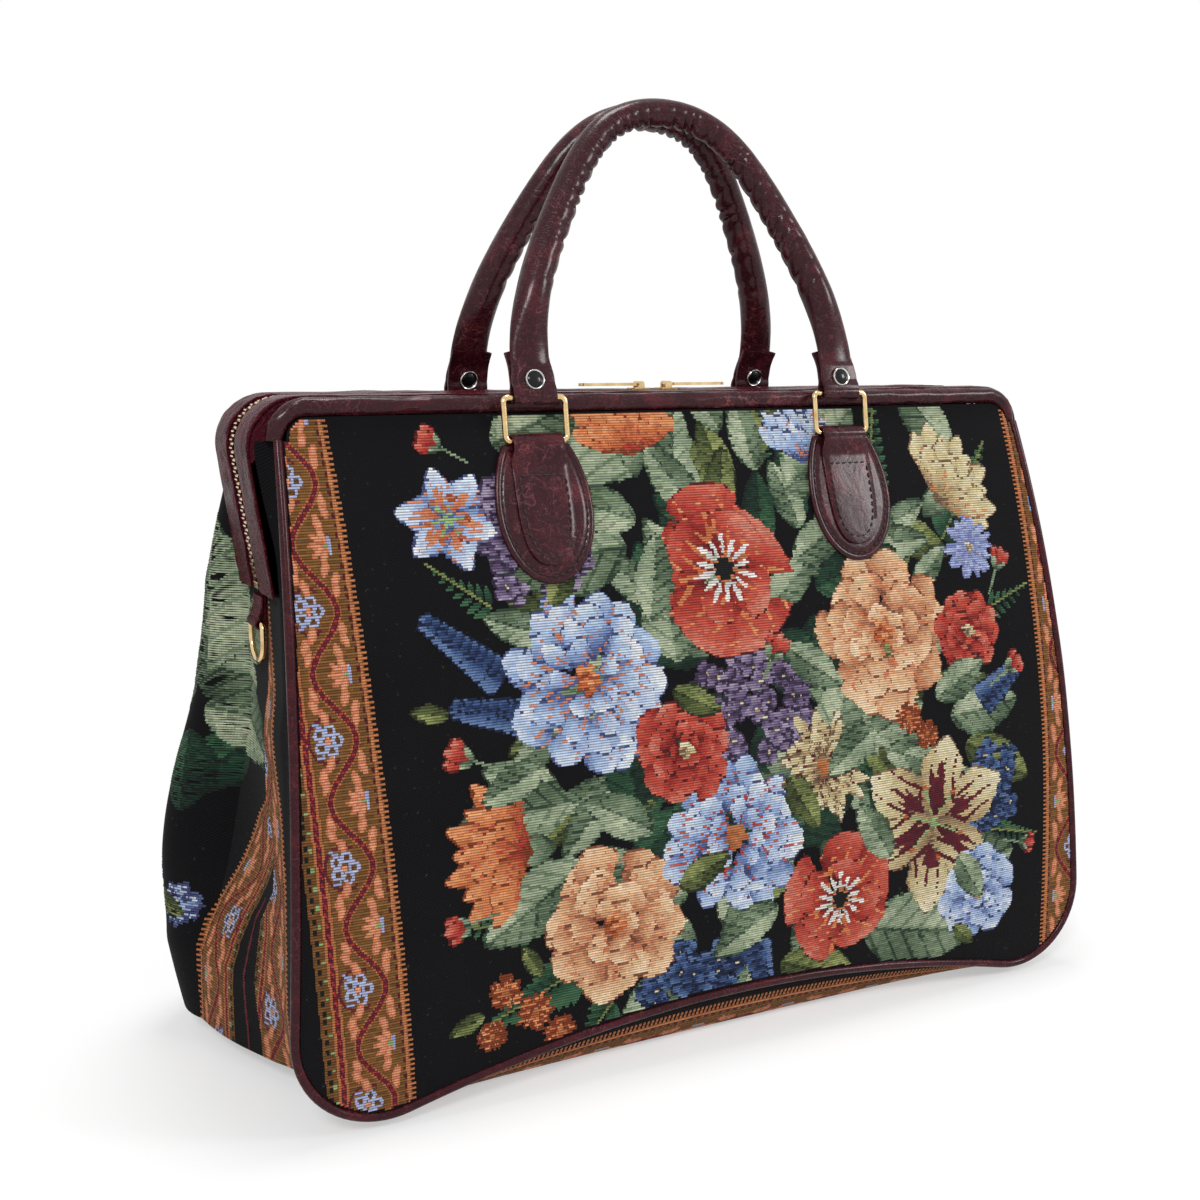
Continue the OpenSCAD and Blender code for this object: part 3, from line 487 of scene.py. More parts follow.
def leather_look(name, dark, red, rough_low=0.16, rough_high=0.34, wrinkle=1.0, coat=0.4):
    """Leather with folds, creases and fine cracks under a thin shine; painted light on raised creases and
    folds, painted shade in the cracks, painted highlights in a web of wrinkles.
    """
    k = Look(name)
    fold = k.noise(58, 4, 0.55, distortion=0.5)
    crease = k.noise(300, 5, 0.62, distortion=1.2, kind="RIDGED_MULTIFRACTAL")
    crackle = k.cells(330, k.scaled(1.0, 1.0, 1.9))
    blotch = k.noise(34, 4, 0.6)
    fine = k.noise(900, 2, 0.5)
    # Lighter red on the raised creases, in patches, and on the tops of the folds: painted light
    painted_crease_light = k.math("MULTIPLY", k.ramp(crease, 0.5, 1.2), k.ramp(blotch, 0.3, 0.7, 0.25, 1.0))
    painted_crease_light = k.math("ADD", painted_crease_light, k.ramp(fold, 0.52, 0.78, 0.0, 0.35))
    # Pale web of thin lines along the wrinkles: painted highlights that stand in for reflections
    lines = []
    for scale, detail, width, most in ((70, 3, 0.013, 0.5), (180, 2, 0.018, 0.36)):
        off_half = k.math("SUBTRACT", k.noise(scale, detail, 0.5, distortion=0.7), 0.5)
        lines.append(k.ramp(k.math("ABSOLUTE", off_half), 0.0, width, most, 0.0))
    painted_wrinkle_highlight = k.math("MULTIPLY", k.math("MAXIMUM", *lines), k.ramp(blotch, 0.4, 0.65, 0.12, 1.0))
    colour = k.mix(painted_crease_light, linear(dark), linear(red))
    colour = k.mix(painted_wrinkle_highlight, colour, linear([c * 0.85 + 36 for c in red]))
    # Darker in the grooves of the fine cracks: painted shade
    colour = k.mix(k.ramp(crackle, 0.0, 0.1, 0.5, 0.0), colour, linear([c * 0.35 for c in dark]))
    grain = k.sum(crease, 0.6, k.ramp(crackle, 0, 0.3), 0.5)
    grain = k.math("ADD", grain, k.math("MULTIPLY", fine, 0.08))
    normal = k.bump(grain, 0.7, 0.0007, k.bump(fold, 0.8 * wrinkle, 0.0026))
    shine = k.bump(painted_wrinkle_highlight, 0.12, 0.0003, k.bump(fold, 0.2 * wrinkle, 0.0016))
    rough = k.ramp(k.sum(blotch, 0.6, fine, 0.4), 0.3, 0.7, rough_low, rough_high)
    return k.set(Base_Color=colour, Roughness=rough, Normal=normal, Specular_IOR_Level=0.02,
                 Coat_Weight=coat, Coat_Roughness=0.21, Coat_Normal=shine)


def cloth_look(name, across, along):
    """Black twill; across and along are the two axes of the cloth."""
    k = Look(name)
    u, v = k.axis(across), k.axis(along)
    twill = k.wave(k.math("ADD", u, v), 0.0017)
    weft = k.wave(v, 0.0012)
    lint = k.ramp(k.noise(420, 2, 0.4), 0.70, 0.78)
    haze = k.noise(26, 3, 0.5)
    # Lighter along the twill's ribs and darker between them: painted light and shade
    colour = k.mix(twill, linear((7, 7, 9)), linear((19, 19, 21)))
    colour = k.mix(k.ramp(haze, 0.3, 0.8, 0.0, 0.3), colour, linear((22, 21, 22)))
    colour = k.mix(k.math("MULTIPLY", lint, 0.3), colour, linear((70, 68, 66)))
    normal = k.bump(k.sum(twill, 0.6, weft, 0.5), 0.35, 0.00025)
    return k.set(Base_Color=colour, Roughness=0.9, Normal=normal, Sheen_Weight=0.03,
                 Sheen_Roughness=0.5, Specular_IOR_Level=0.06)


def thread_look(name, across):
    """Woven pattern threads, coloured thread by thread."""
    k = Look(name)
    colour = k.node("ShaderNodeAttribute", attribute_name="thread").outputs["Color"]
    twist = k.wave(k.axis(across), 0.0009)
    shade = k.ramp(k.noise(330, 2, 0.5), 0.3, 0.7, 0.0, 0.22)
    colour = k.mix(shade, colour, (0.004, 0.004, 0.004, 1.0))
    # Darker stripes across each thread at the pitch of its twist: painted shade
    colour = k.mix(k.math("MULTIPLY", twist, 0.16), colour, (0.01, 0.008, 0.008, 1.0))
    normal = k.bump(k.math("ADD", twist, k.noise(1300, 1, 0.5)), 0.3, 0.0002)
    return k.set(Base_Color=colour, Roughness=0.78, Normal=normal, Sheen_Weight=0.04,
                 Specular_IOR_Level=0.12)


def tape_look():
    """Ribbed woven tape."""
    k = Look("zip_tape")
    pick = k.wave(k.math("ADD", k.axis(0), k.axis(2)), 0.0009)
    weave = k.math("MULTIPLY", k.wave(k.axis(1), 0.0011), pick)
    # Lighter on the woven ribs and darker between them: painted light and shade
    colour = k.mix(weave, linear((50, 8, 18)), linear((104, 24, 42)))
    colour = k.mix(k.ramp(k.noise(90, 3), 0.3, 0.8, 0.0, 0.35), colour, linear((62, 12, 24)))
    return k.set(Base_Color=colour, Roughness=0.75, Normal=k.bump(weave, 0.5, 0.0003),
                 Sheen_Weight=0.05, Specular_IOR_Level=0.15)


def metal_look(name, light, deep, rough_low, rough_high):
    """Polished metal with smears and fine scratches."""
    k = Look(name)
    smear = k.noise(140, 4, 0.6)
    scratch = k.noise(60, 5, 0.7, vector=k.scaled(14, 1.0, 9))
    colour = k.mix(k.ramp(smear, 0.3, 0.75), linear(light), linear(deep))
    rough = k.ramp(k.sum(smear, 0.5, scratch, 0.5), 0.35, 0.65, rough_low, rough_high)
    return k.set(Base_Color=colour, Metallic=1.0, Roughness=rough, Normal=k.bump(scratch, 0.02, 0.0001))


def paint_look():
    """Black enamel of the rivets' caps."""
    k = Look("rivet_metal")
    smear = k.noise(220, 3)
    colour = k.mix(k.ramp(smear, 0.35, 0.7), linear((8, 8, 10)), linear((18, 17, 19)))
    return k.set(Base_Color=colour, Roughness=k.ramp(smear, 0.3, 0.7, 0.12, 0.26),
                 Coat_Weight=0.12, Coat_Roughness=0.05, Specular_IOR_Level=0.2,
                 Normal=k.bump(k.noise(700, 2), 0.05, 0.0001))


def stitch_look(name, light, deep):
    """Twisted sewing thread."""
    k = Look(name)
    twist = k.wave(k.math("ADD", k.axis(0), k.axis(2)), 0.0008)
    # Lighter on the twisted plies and darker between them: painted light and shade
    colour = k.mix(twist, linear(deep), linear(light))
    return k.set(Base_Color=colour, Roughness=0.7, Normal=k.bump(twist, 0.4, 0.0002), Sheen_Weight=0.1)


def plain_look(name, light, deep, scale, rough):
    """Speckled board or cord."""
    k = Look(name)
    speck = k.noise(scale, 4, 0.6)
    colour = k.mix(k.ramp(speck, 0.3, 0.7), linear(deep), linear(light))
    return k.set(Base_Color=colour, Roughness=rough, Normal=k.bump(speck, 0.25, 0.0004))


LEATHER = leather_look("leather", (48, 13, 20), (128, 50, 58))
PIPING = leather_look("piping_leather", (52, 13, 20), (112, 34, 46), 0.16, 0.3, 0.5, 0.3)
FACING = leather_look("facing_leather", (60, 11, 21), (126, 34, 48), 0.2, 0.36, 1.0, 0.035)
FRONT_CLOTH = cloth_look("front_cloth", 0, 2)
END_CLOTH = cloth_look("end_cloth", 1, 2)
BASE_CLOTH = cloth_look("base_cloth", 0, 1)
FRONT_THREAD = thread_look("front_threads", 0)
END_THREAD = thread_look("end_threads", 1)
TAPE = tape_look()
GOLD = metal_look("gold_metal", (236, 208, 158), (196, 160, 108), 0.08, 0.2)
SILVER = metal_look("silver_metal", (224, 222, 216), (176, 174, 170), 0.14, 0.3)
RIVET = paint_look()
STITCH = stitch_look("stitch_thread", (24, 12, 14), (9, 5, 6))
BOARD = plain_look("base_board", (128, 112, 92), (88, 76, 62), 500, 0.85)
CORE = plain_look("rim_core", (84, 84, 82), (58, 58, 58), 300, 0.6)

# Pattern of the cloth: thread colours, dark to light, as display values
TONES = {
    "peach": [(120, 70, 52), (176, 116, 84), (208, 156, 116), (224, 184, 144), (234, 206, 172)],
    "ice": [(66, 72, 112), (104, 124, 170), (150, 172, 208), (186, 200, 222), (222, 224, 226)],
    "red": [(78, 20, 22), (132, 38, 34), (168, 58, 48), (190, 84, 68), (206, 128, 108)],
    "white": [(150, 148, 148), (196, 194, 190), (226, 222, 216)],
    "purple": [(46, 36, 56), (74, 60, 88), (102, 86, 118), (128, 112, 142), (156, 142, 166)],
    "orange": [(118, 54, 30), (172, 88, 52), (204, 124, 78), (224, 160, 112)],
    "straw": [(108, 84, 66), (156, 132, 96), (188, 168, 126), (208, 194, 152), (224, 214, 184)],
    "blue": [(20, 28, 52), (36, 52, 88), (60, 82, 124), (92, 116, 156)],
    "sage": [(44, 60, 46), (84, 102, 78), (120, 137, 110), (152, 164, 136), (182, 190, 160)],
    "olive": [(36, 42, 24), (68, 78, 44), (104, 114, 66), (142, 148, 92)],
    "fern": [(14, 28, 22), (22, 46, 34), (36, 68, 48), (58, 94, 66)],
    "ochre": [(88, 58, 28), (116, 77, 38), (132, 92, 48)],
    "salmon": [(160, 86, 58), (194, 116, 82), (210, 140, 106)],
    "wine": [(66, 18, 28), (96, 28, 40)],
    "lavender": [(116, 126, 174), (146, 156, 196), (174, 182, 212)],
    "mint": [(110, 140, 90), (146, 174, 116)],
    "amber": [(160, 94, 54), (184, 116, 74)],
    "coal": [(20, 19, 20)],
}
INKS, FIRST = [(0, 0, 0)], {}
for tone, shades in list(TONES.items()):
    between = [tuple((p + q) / 2 for p, q in zip(a, b)) for a, b in zip(shades, shades[1:])]
    TONES[tone] = [c for pair in zip(shades, between + [None]) for c in pair if c]
    FIRST[tone] = len(INKS)
    INKS += TONES[tone]
INK_COLOURS = np.array([linear(c) for c in INKS])
# Thread rows and columns in millimetres, and the painted light on a thread's crest and painted shade on its
# edges
ROW, COL = 1.3, 0.65
CREST_LIGHT, EDGE_SHADE = 1.3, 0.42


def polar(x, z, a, d):
    """Point at distance d and angle a from (x, z)."""
    return x + d * cos(a), z + d * sin(a)


# Round blooms: rings of petals as (count, start, length, width), the last three in shares of the radius,
# and the shape of the petals
BLOOMS = {
    "camellia": (((10, 0.36, 0.66, 0.62), (8, 0.26, 0.54, 0.5), (7, 0.16, 0.42, 0.4),
                  (5, 0.04, 0.32, 0.3)), 1.5),
    "dahlia": (((13, 0.34, 0.68, 0.42), (12, 0.3, 0.54, 0.36), (10, 0.2, 0.46, 0.32),
                (7, 0.1, 0.34, 0.26)), 1.7),
    "aster": (((19, 0.3, 0.7, 0.24), (16, 0.2, 0.6, 0.2), (12, 0.14, 0.42, 0.17)), 1.2),
    "poppy": (((5, 0.1, 0.92, 0.98), (4, 0.06, 0.66, 0.66)), 1.9),
}
# Border: its width, the period of its vine, and the vine's middle and swing
BORDER, PERIOD, VINE, SWING = 45.0, 60.0, 25.2, 8.2
# Stripes of the border: place, half width, slant, repeat and length of dashes, tone and light
STRIPES = (
    (2.4, 0.9, 0, 5, 2.6, "coal", 0.5), (4.6, 0.9, 0, 9, 1.8, "mint", 0.6), (6.6, 0.7, 0, 1, 1, "amber", 0.5),
    (8.4, 1.2, 0, 1, 1, "wine", 0.7), (8.4, 0.9, 1.5, 4.8, 2.0, "red", 0.4),
    (10.3, 0.7, 0, 1, 1, "amber", 0.5), (BORDER - 4.0, 0.8, 0, 1, 1, "amber", 0.7),
    (BORDER - 1.9, 1.3, 0, 2 * ROW, ROW, "amber", 0.4),
    (BORDER - 5.6, 0.7, 0, 4.8, 2.4, "wine", 0.5),
)


class Canvas:
    """Thread colours on a cloth, by column and row. Ink 0 is the black ground."""

    def __init__(self, x0, x1, z0, z1, seed, dash=6):
        self.x = np.arange(x0 + COL / 2, x1, COL)
        self.z = np.arange(z0 + ROW / 2, z1, ROW)
        self.X, self.Z = np.meshgrid(self.x, self.z)
        self.ink = np.zeros(self.X.shape, int)
        self.rng = np.random.default_rng(seed)
        dashes = np.repeat(self.rng.random((len(self.z), len(self.x) // dash + 2)), dash, 1)
        shifts = self.rng.integers(0, dash, len(self.z))
        self.hatch = np.stack([np.roll(row, s)[:len(self.x)] for row, s in zip(dashes, shifts)]) - 0.5

    def window(self, x, z, reach):
        i, k = (np.searchsorted(at, (mid - reach, mid + reach)) for at, mid in ((self.x, x), (self.z, z)))
        return slice(*k), slice(*i)

    def put(self, win, mask, tone, light):
        count = len(TONES[tone])
        level = np.clip(np.floor((light + 0.14 * self.hatch[win]) * count), 0, count - 1).astype(int)
        self.ink[win] = np.where(mask, FIRST[tone] + level, self.ink[win])

    def clear(self, mask):
        self.ink = np.where(mask, 0, self.ink)

    def petal(self, x, z, angle, length, width, tone, shape=1.4, lift=0.0, ruffle=0.0, bend=0.0,
              shadow=0.5, veins=False, turn=1, streak=None):
        """One petal or leaf from its foot, feathered by the weave, on a dark outline as wide as shadow.
        streak is a second tone in lines along it."""
        win = self.window(x, z, length + width)
        dx, dz, hatch = self.X[win] - x, self.Z[win] - z, self.hatch[win]
        c, s = cos(angle), sin(angle)
        u, v = (dx * c + dz * s) / length, (dz * c - dx * s) / (width / 2)
        v = v - bend * u * u

        def outline(grow):
            reach = 1 + grow / length
            t = np.clip(u / reach, 0, 1)
            half = np.power(np.sin(np.pi * np.power(t, shape)), 0.7) * (1 + ruffle * np.sin(11 * t + 3 * x))
            half = half + grow / (width / 2)
            return half, (u > 0) & (u < reach) & (np.abs(v) < half * (1 + 0.1 * hatch))
        if shadow:
            self.put(win, outline(shadow)[1], tone, 0.08 + 0 * u)
        half, mask = outline(0.0)
        edge = np.abs(v) / np.maximum(half, 1e-6)
        light = 0.12 + 0.74 * u + 0.14 * turn * v - 0.16 * edge ** 3 + lift
        if veins:
            vein = (np.abs(v) < 0.07) | (np.mod(u * 6.5 - np.abs(v) * 1.5, 1.0) < 0.2)
            light = 0.6 + 0.18 * turn * np.sign(v) - 0.25 * vein - 0.16 * edge ** 4
            light = light + 0.12 * np.sin(7 * u + x) + lift
        self.put(win, mask, tone, light)
        if streak:
            lines = np.abs(np.mod(v * 1.9 + 0.4 * np.sin(4 * u + x), 1.0) - 0.5) < 0.17 * (1.2 - u)
            self.put(win, mask & lines & (u > 0.16) & (u < 0.8 + 0.5 * hatch), streak, 0.35 + 0.5 * u)

    def disc(self, x, z, rx, rz, tone, light=0.6):
        win = self.window(x, z, max(rx, rz) + 1)
        inside = np.square((self.X[win] - x) / rx) + np.square((self.Z[win] - z) / rz)
        self.put(win, inside < 1, tone, light - 0.4 * inside)

    def line(self, a, b, width, tone, light):
        """Stroke from a to b."""
        a, b = np.asarray(a, float), np.asarray(b, float)
        win = self.window(*(a + b) / 2, np.hypot(*(b - a)) / 2 + width)
        p = np.stack([self.X[win], self.Z[win]], -1)
        t = np.clip(((p - a) @ (b - a)) / max((b - a) @ (b - a), 1e-9), 0, 1)
        gap = np.linalg.norm(p - a - t[..., None] * (b - a), axis=-1)
        self.put(win, gap < width / 2, tone, light)

    def leaf(self, x, z, angle, length, width, tone="sage", bend=0.0, turn=1):
        self.petal(x, z, radians(angle), length, width, tone, 0.85, bend=bend, veins=True, turn=turn)

    def frond(self, x, z, angle, length, curl=6.0):
        """Fern with leaflets in pairs, which curls up towards its tip."""
        a = radians(angle)
        count = int(length / 5)
        at = lambda t: (x + cos(a) * length * t, z + sin(a) * length * t + curl * t * t)
        for t in np.arange(count) / count:
            for side in (1, -1):
                self.petal(*at(t), a + side * radians(52), length * 0.3 * (1.05 - t),
                           length * 0.1 * (1.1 - 0.6 * t), "fern", 0.9, 0.15 + 0.25 * (side > 0), shadow=0.0)
        self.line((x, z), at(1), 1.4, "olive", 0.7)

    def bloom(self, kind, x, z, r, tone, ruffle=0.09, spin=0.0, heart="straw", streak=None):
        """Round bloom of petals in rings, with a heart of small discs."""
        rings, shape = BLOOMS[kind]
        vary = lambda share: self.rng.normal(0, share)
        for k, (count, start, length, width) in enumerate(rings):
            for i in self.rng.permutation(count):
                a = 2 * pi * (i + 0.5 * k) / count + spin + vary(0.1)
                grow = 1 + vary(0.09)
                self.petal(*polar(x, z, a, r * start), a + vary(0.15), r * length * grow,
                           r * width * (1 + vary(0.12)), tone, shape, ruffle=ruffle, bend=vary(0.2),
                           lift=vary(0.08), turn=self.rng.choice((-1, 1)), streak=streak)
        seed = r * 0.035
        for i in range(16):
            spot = polar(x, z, i * 2.4, seed * math.sqrt(i))
            self.disc(*spot, seed + 0.5, seed + 0.7, heart, 0.4 + 0.5 * (i % 3) / 2)

    def poppy(self, x, z, r):
        """Red poppy with white marks round a black eye."""
        self.bloom("poppy", x, z, r, "red", 0.12, 0.4, "amber", "orange")
        for i in range(14):
            a = 2 * pi * i / 14 + 0.2
            self.petal(*polar(x, z, a, r * 0.14), a, r * (0.26 + 0.08 * (i % 2)), r * 0.07, "white", 1.0, 0.3,
                       shadow=0.0)
        self.disc(x, z, r * 0.15, r * 0.15, "coal")
        for i in range(8):
            self.disc(*polar(x, z, 2 * pi * i / 8, r * 0.14), 1.3, 1.3, "amber", 0.9)

    def lily(self, x, z, r, tone, streak, spin):
        """Six pointed petals with streaks, and stamens."""
        for k, (grow, turn) in enumerate(((1.0, 0.0), (0.94, pi / 3))):
            for i in range(3):
                a = spin + turn + 2 * pi * i / 3
                self.petal(x, z, a, r * grow, r * 0.58, tone, 0.95, 0.1, 0.1, 0.25 - 0.5 * k, turn=1 - 2 * k,
                           streak=streak)
                for d in (-0.16, 0.0, 0.16):
                    self.petal(*polar(x, z, a, 3), a + d, r * (0.66 - abs(d)), r * 0.07, streak, 0.8, 0.1,
                               shadow=0.0)
        for i in range(6):
            tip = polar(x, z, spin + 0.5 + i, r * 0.4)
            self.line((x, z), tip, 1.2, "mint", 0.7)
            self.disc(*tip, 2.2, 1.6, "orange", 0.5)

    def carnation(self, x, z, angle, r, tone):
        """Fan of ruffled petals on a calyx, seen from the side."""
        a0, streak = radians(angle), "red" if tone == "orange" else "salmon"
        self.petal(*polar(x, z, a0, -0.1 * r), a0, r * 0.5, r * 0.36, "sage", 1.2)
        for length, spread, count in ((1.0, 62, 9), (0.8, 50, 7), (0.6, 34, 5)):
            for i in range(count):
                a = a0 + radians(spread * (2 * i / (count - 1) - 1))
                self.petal(*polar(x, z, a0, 0.2 * r), a, r * length * (0.92 + 0.12 * (i % 2)), r * 0.26, tone,
                           2.2, ruffle=0.16, turn=1 - 2 * (i % 2), streak=streak)

    def cluster(self, x, z, rx, rz, tone, count):
        """Many small flowers of four petals, the outer ones first."""
        spots = []
        for _ in range(count):
            a, d = self.rng.random() * 2 * pi, math.sqrt(self.rng.random())
            spots.append((x + rx * d * cos(a), z + rz * d * sin(a)))
        for spot in sorted(spots, key=lambda p: -np.hypot((p[0] - x) / rx, (p[1] - z) / rz)):
            turn, lift = self.rng.random(), self.rng.normal(0.05, 0.12)
            for i in range(4):
                self.petal(*spot, turn + i * pi / 2, 7.2, 6.4, tone, 1.5, lift, shadow=0.6)
            self.disc(*spot, 1.1, 1.1, "straw", 0.8)

    def spike(self, x, z, angle, length, tone="blue"):
        """Tall spike of small flowers."""
        a = radians(angle)
        self.line((x, z), polar(x, z, a, length), 1.6, "fern", 0.7)
        count = int(length / 4.5)
        for t in np.arange(count) / count:
            for side in (-1, 1, 0):
                self.petal(*polar(x, z, a, length * t), a + side * radians(58), 11 - 6 * t, 7 - 3.5 * t, tone,
                           1.6, 0.15 * (side + 1), shadow=0.6)

    def bud(self, x, z, angle, r):
        a = radians(angle)
        self.line(polar(x, z, a, -2.2 * r), (x, z), 1.5, "sage", 0.5)
        for d in (-0.5, 0.5, 0.0):
            self.petal(x, z, a + d, r * 1.5, r * 0.9, "red", 1.2, 0.1, turn=1 if d < 0 else -1)
        for d in (-0.7, 0.7):
            self.petal(*polar(x, z, a, -0.3 * r), a + d, r, r * 0.4, "sage", 0.9, shadow=0.4)

    def border(self, u, v):
        """Scroll border; over the cloth, u runs along it and v from its plain edge to its comb edge."""
        def lay(mask, tone, light=0.5):
            self.put((slice(None), slice(None)), mask & (v > 0) & (v < BORDER), tone, light + 0 * u)

        def lay_two(shape, tone, outer, inner, share):
            lay(shape < 1, tone, outer)
            lay(shape < share, tone, inner)
        lay(v < BORDER - 2.6, "ochre", 0.4)
        lay((v > 11.6) & (v < BORDER - 5) & (np.mod(u, 2 * ROW) < ROW), "ochre", 0.75)
        for place, half, slant, pitch, dash, tone, light in STRIPES:
            lay((np.abs(v - place) < half) & (np.mod(u + slant * v, pitch) < dash), tone, light)
        turn = 2 * pi * u / PERIOD
        gap = (v - VINE - SWING * np.sin(turn)) / np.hypot(1, SWING * 2 * pi / PERIOD * np.cos(turn))
        lay(np.abs(gap) < 1.9, "amber", 0.3)
        lay(np.abs(gap) < 1.2, "wine", 0.8)
        lay((np.abs(gap) < 0.6) & (np.mod(u, 3.9) < 1.3), "red", 0.4)
        p = np.mod(u, PERIOD)
        # Rosette in the lower bend of the vine
        du, dv = p - 15.0, v - (VINE - 5.4)
        lay((np.abs(np.hypot(du, dv * 1.1) - 10.4) < 0.75) & (dv < 5.0), "wine", 0.8)
        for i in range(5):
            a = radians(90 + 72 * i)
            ring = np.hypot(du - 5.0 * cos(a), dv - 4.6 * sin(a))
            lay(ring < 3.0, "lavender", 0.75)
            lay(ring < 1.5, "ochre", 0.2)
        lay(np.hypot(du, dv) < 1.6, "salmon", 0.9)
        for k in (-1, 1):
            lay((np.abs(du - k * (6.2 - dv * 0.25)) < 0.8) & (dv < -2.5) & (dv > -6.5), "lavender", 0.5)
        # Fan of petals in the upper bend
        du, dv = p - 45.0, VINE + 5.4 - v
        for k in range(-2, 3):
            c, s = cos(radians(90 + 34 * k)), sin(radians(90 + 34 * k))
            along, over = du * c + (dv + 3) * s, (dv + 3) * c - du * s
            lay_two(np.square((along - 4.9) / 4.5) + np.square(over / 1.7), "salmon", 0.45, 0.95, 0.45)
        lay((np.abs(du) < 4.2) & (np.abs(dv + 4.2) < 0.8), "lavender", 0.6)
        lay((np.abs(du) < 1.0) & (np.abs(dv + 2.6) < 1.4), "mint", 0.6)
        # Leaves on both sides where the vine crosses the middle
        for cross, sign in ((0.0, 1), (PERIOD / 2, -1)):
            du = np.mod(u - cross + PERIOD / 2, PERIOD) - PERIOD / 2
            for side in (-1, 1):
                for reach, slip in ((5.6, -4.2), (9.8, 1.2), (9.2, 6.4)):
                    dv = v - VINE - side * reach
                    lean = du - slip * sign * side + sign * side * 0.6 * dv
                    leaf = np.square(lean / 3.6) + np.square(dv / 2.3)
                    lay_two(np.where(np.abs(gap) > 2.1, leaf, 1), "salmon", 0.5, 0.95, 0.4)

    def tidy(self):
        """Merges floats of one or two columns into their neighbour."""
        ink = self.ink
        for reach in (1, 2):
            near, far = ink[:, :-reach - 1].copy(), ink[:, reach + 1:].copy()
            mids = [ink[:, k + 1:ink.shape[1] - reach + k] for k in range(reach)]
            short = (near > 0) & (far > 0)
            for mid in mids:
                short &= (mid != near) & (mid != far) & (mid > 0)
            for mid in mids:
                mid[:] = np.where(short | ((near == far) & (near > 0) & (reach == 1)), near, mid)

    def runs(self):
        """Rows of equal ink as arrays (row, first column, end column, ink)."""
        padded = np.pad(self.ink, ((0, 0), (1, 1)), constant_values=-1)
        row, edge = np.nonzero(padded[:, 1:] != padded[:, :-1])
        same = row[1:] == row[:-1]
        first, end, row = edge[:-1][same], edge[1:][same], row[:-1][same]
        value = self.ink[row, first]
        shown = value > 0
        return row[shown], first[shown], end[shown], value[shown]


def threads(canvas, surface, flip=False, height=0.34, longest=9.0, split=None):
    """Closed woven rows, as a list of (points, quads, triangles, colours of both). surface maps column and
    row to a point, longest is the longest stretch between points, and split is a column that cuts rows."""
    row, first, end, value = canvas.runs()
    x0, x1 = canvas.x[first] - COL / 2, canvas.x[end - 1] + COL / 2
    tint = canvas.rng.normal(1.0, 0.045, (len(row), 1)) * canvas.rng.normal(1.0, 0.02, (len(row), 4))
    tint[:, 3] = 1.0
    colour = INK_COLOURS[value] * tint
    made = []
    for part in ([x0 > -np.inf] if split is None else [x0 < split, x0 >= split]):
        pieces = np.ceil((x1 - x0)[part] / longest).astype(int)
        which = np.repeat(np.nonzero(part)[0], pieces)
        order = np.arange(len(which)) - np.repeat(np.cumsum(pieces) - pieces, pieces)
        step = np.repeat((x1 - x0)[part] / pieces, pieces)
        start, r, paint = x0[which] + order * step, row[which], colour[which]
        joined = np.zeros(len(which), bool)
        joined[1:] = (r[1:] == r[:-1]) & (np.abs(start[1:] - start[:-1] - step[:-1]) < 1e-6)
        chain = np.cumsum(~joined) - 1
        near = np.arange(len(which)) + chain
        x, level = np.empty((2, len(which) + chain[-1] + 1))
        x[near + 1], x[near] = start + step, start
        level[near + 1] = level[near] = canvas.z[r]
        across = surface(x + 0.5, level) - surface(x - 0.5, level)
        along = surface(x, level + 0.5) - surface(x, level - 0.5)
        normal = (-1 if flip else 1) * unit(np.cross(across, along))
        section = ((-0.49 * ROW, 0.02), (0.0, height), (0.49 * ROW, 0.02))
        points = np.stack([surface(x, level + dz) + rise * normal for dz, rise in section], 1)
        i, j = 3 * near, 3 * near + 3
        sides = ((i, j, j + 1, i + 1), (i + 1, j + 1, j + 2, i + 2), (i + 2, j + 2, j, i))
        last = np.append(~joined[1:], True)
        a, b = i[~joined], j[last]
        quads = np.concatenate([np.stack(q, -1) for q in sides])
        tris = np.concatenate([np.stack((a, a + 1, a + 2), -1), np.stack((b, b + 2, b + 1), -1)])
        if flip:
            quads, tris = quads[:, ::-1], tris[:, ::-1]
        shade = np.concatenate([paint] * 3), np.concatenate([paint[~joined], paint[last]])
        made.append((points.reshape(-1, 3), quads, tris, shade))
    return made


def placed(part, scale):
    """The same threads mirrored or turned by a scale of 1 or -1 on each axis."""
    points, quads, tris, shade = part
    if np.prod(scale) < 0:
        quads, tris = quads[:, ::-1], tris[:, ::-1]
    return points * scale, quads, tris, shade


def link_threads(name, part, material):
    """Object of closed threads, with each thread's colour on its face corners, painted light on its crest and
    painted shade on its edges.
    """
    points, quads, tris, shade = part
    mesh = bpy.data.meshes.new(name)
    mesh.vertices.add(len(points))
    mesh.vertices.foreach_set("co", (points * MM).astype(np.float32).ravel())
    corners = np.concatenate([quads.ravel(), tris.ravel()])
    starts = np.concatenate([4 * np.arange(len(quads)), quads.size + 3 * np.arange(len(tris))])
    mesh.loops.add(len(corners))
    mesh.loops.foreach_set("vertex_index", corners.astype(np.int32))
    mesh.polygons.add(len(starts))
    mesh.polygons.foreach_set("loop_start", starts.astype(np.int32))
    mesh.update(calc_edges=True)
    obj = show(name, mesh, [material], "root")
    mesh.set_sharp_from_angle(angle=radians(70))
    paint = mesh.color_attributes.new("thread", "FLOAT_COLOR", "CORNER")
    tint = np.concatenate([np.repeat(shade[0], 4, 0), np.repeat(shade[1], 3, 0)])
    # Painted highlight on each thread's crest and painted shade on its two edges
    tint[:, :3] *= np.where(corners % 3 == 1, CREST_LIGHT, EDGE_SHADE)[:, None]
    paint.data.foreach_set("color", tint.astype(np.float32).ravel())
    return obj


# Cloth panels
GOLDEN_ANGLE = 2.399963


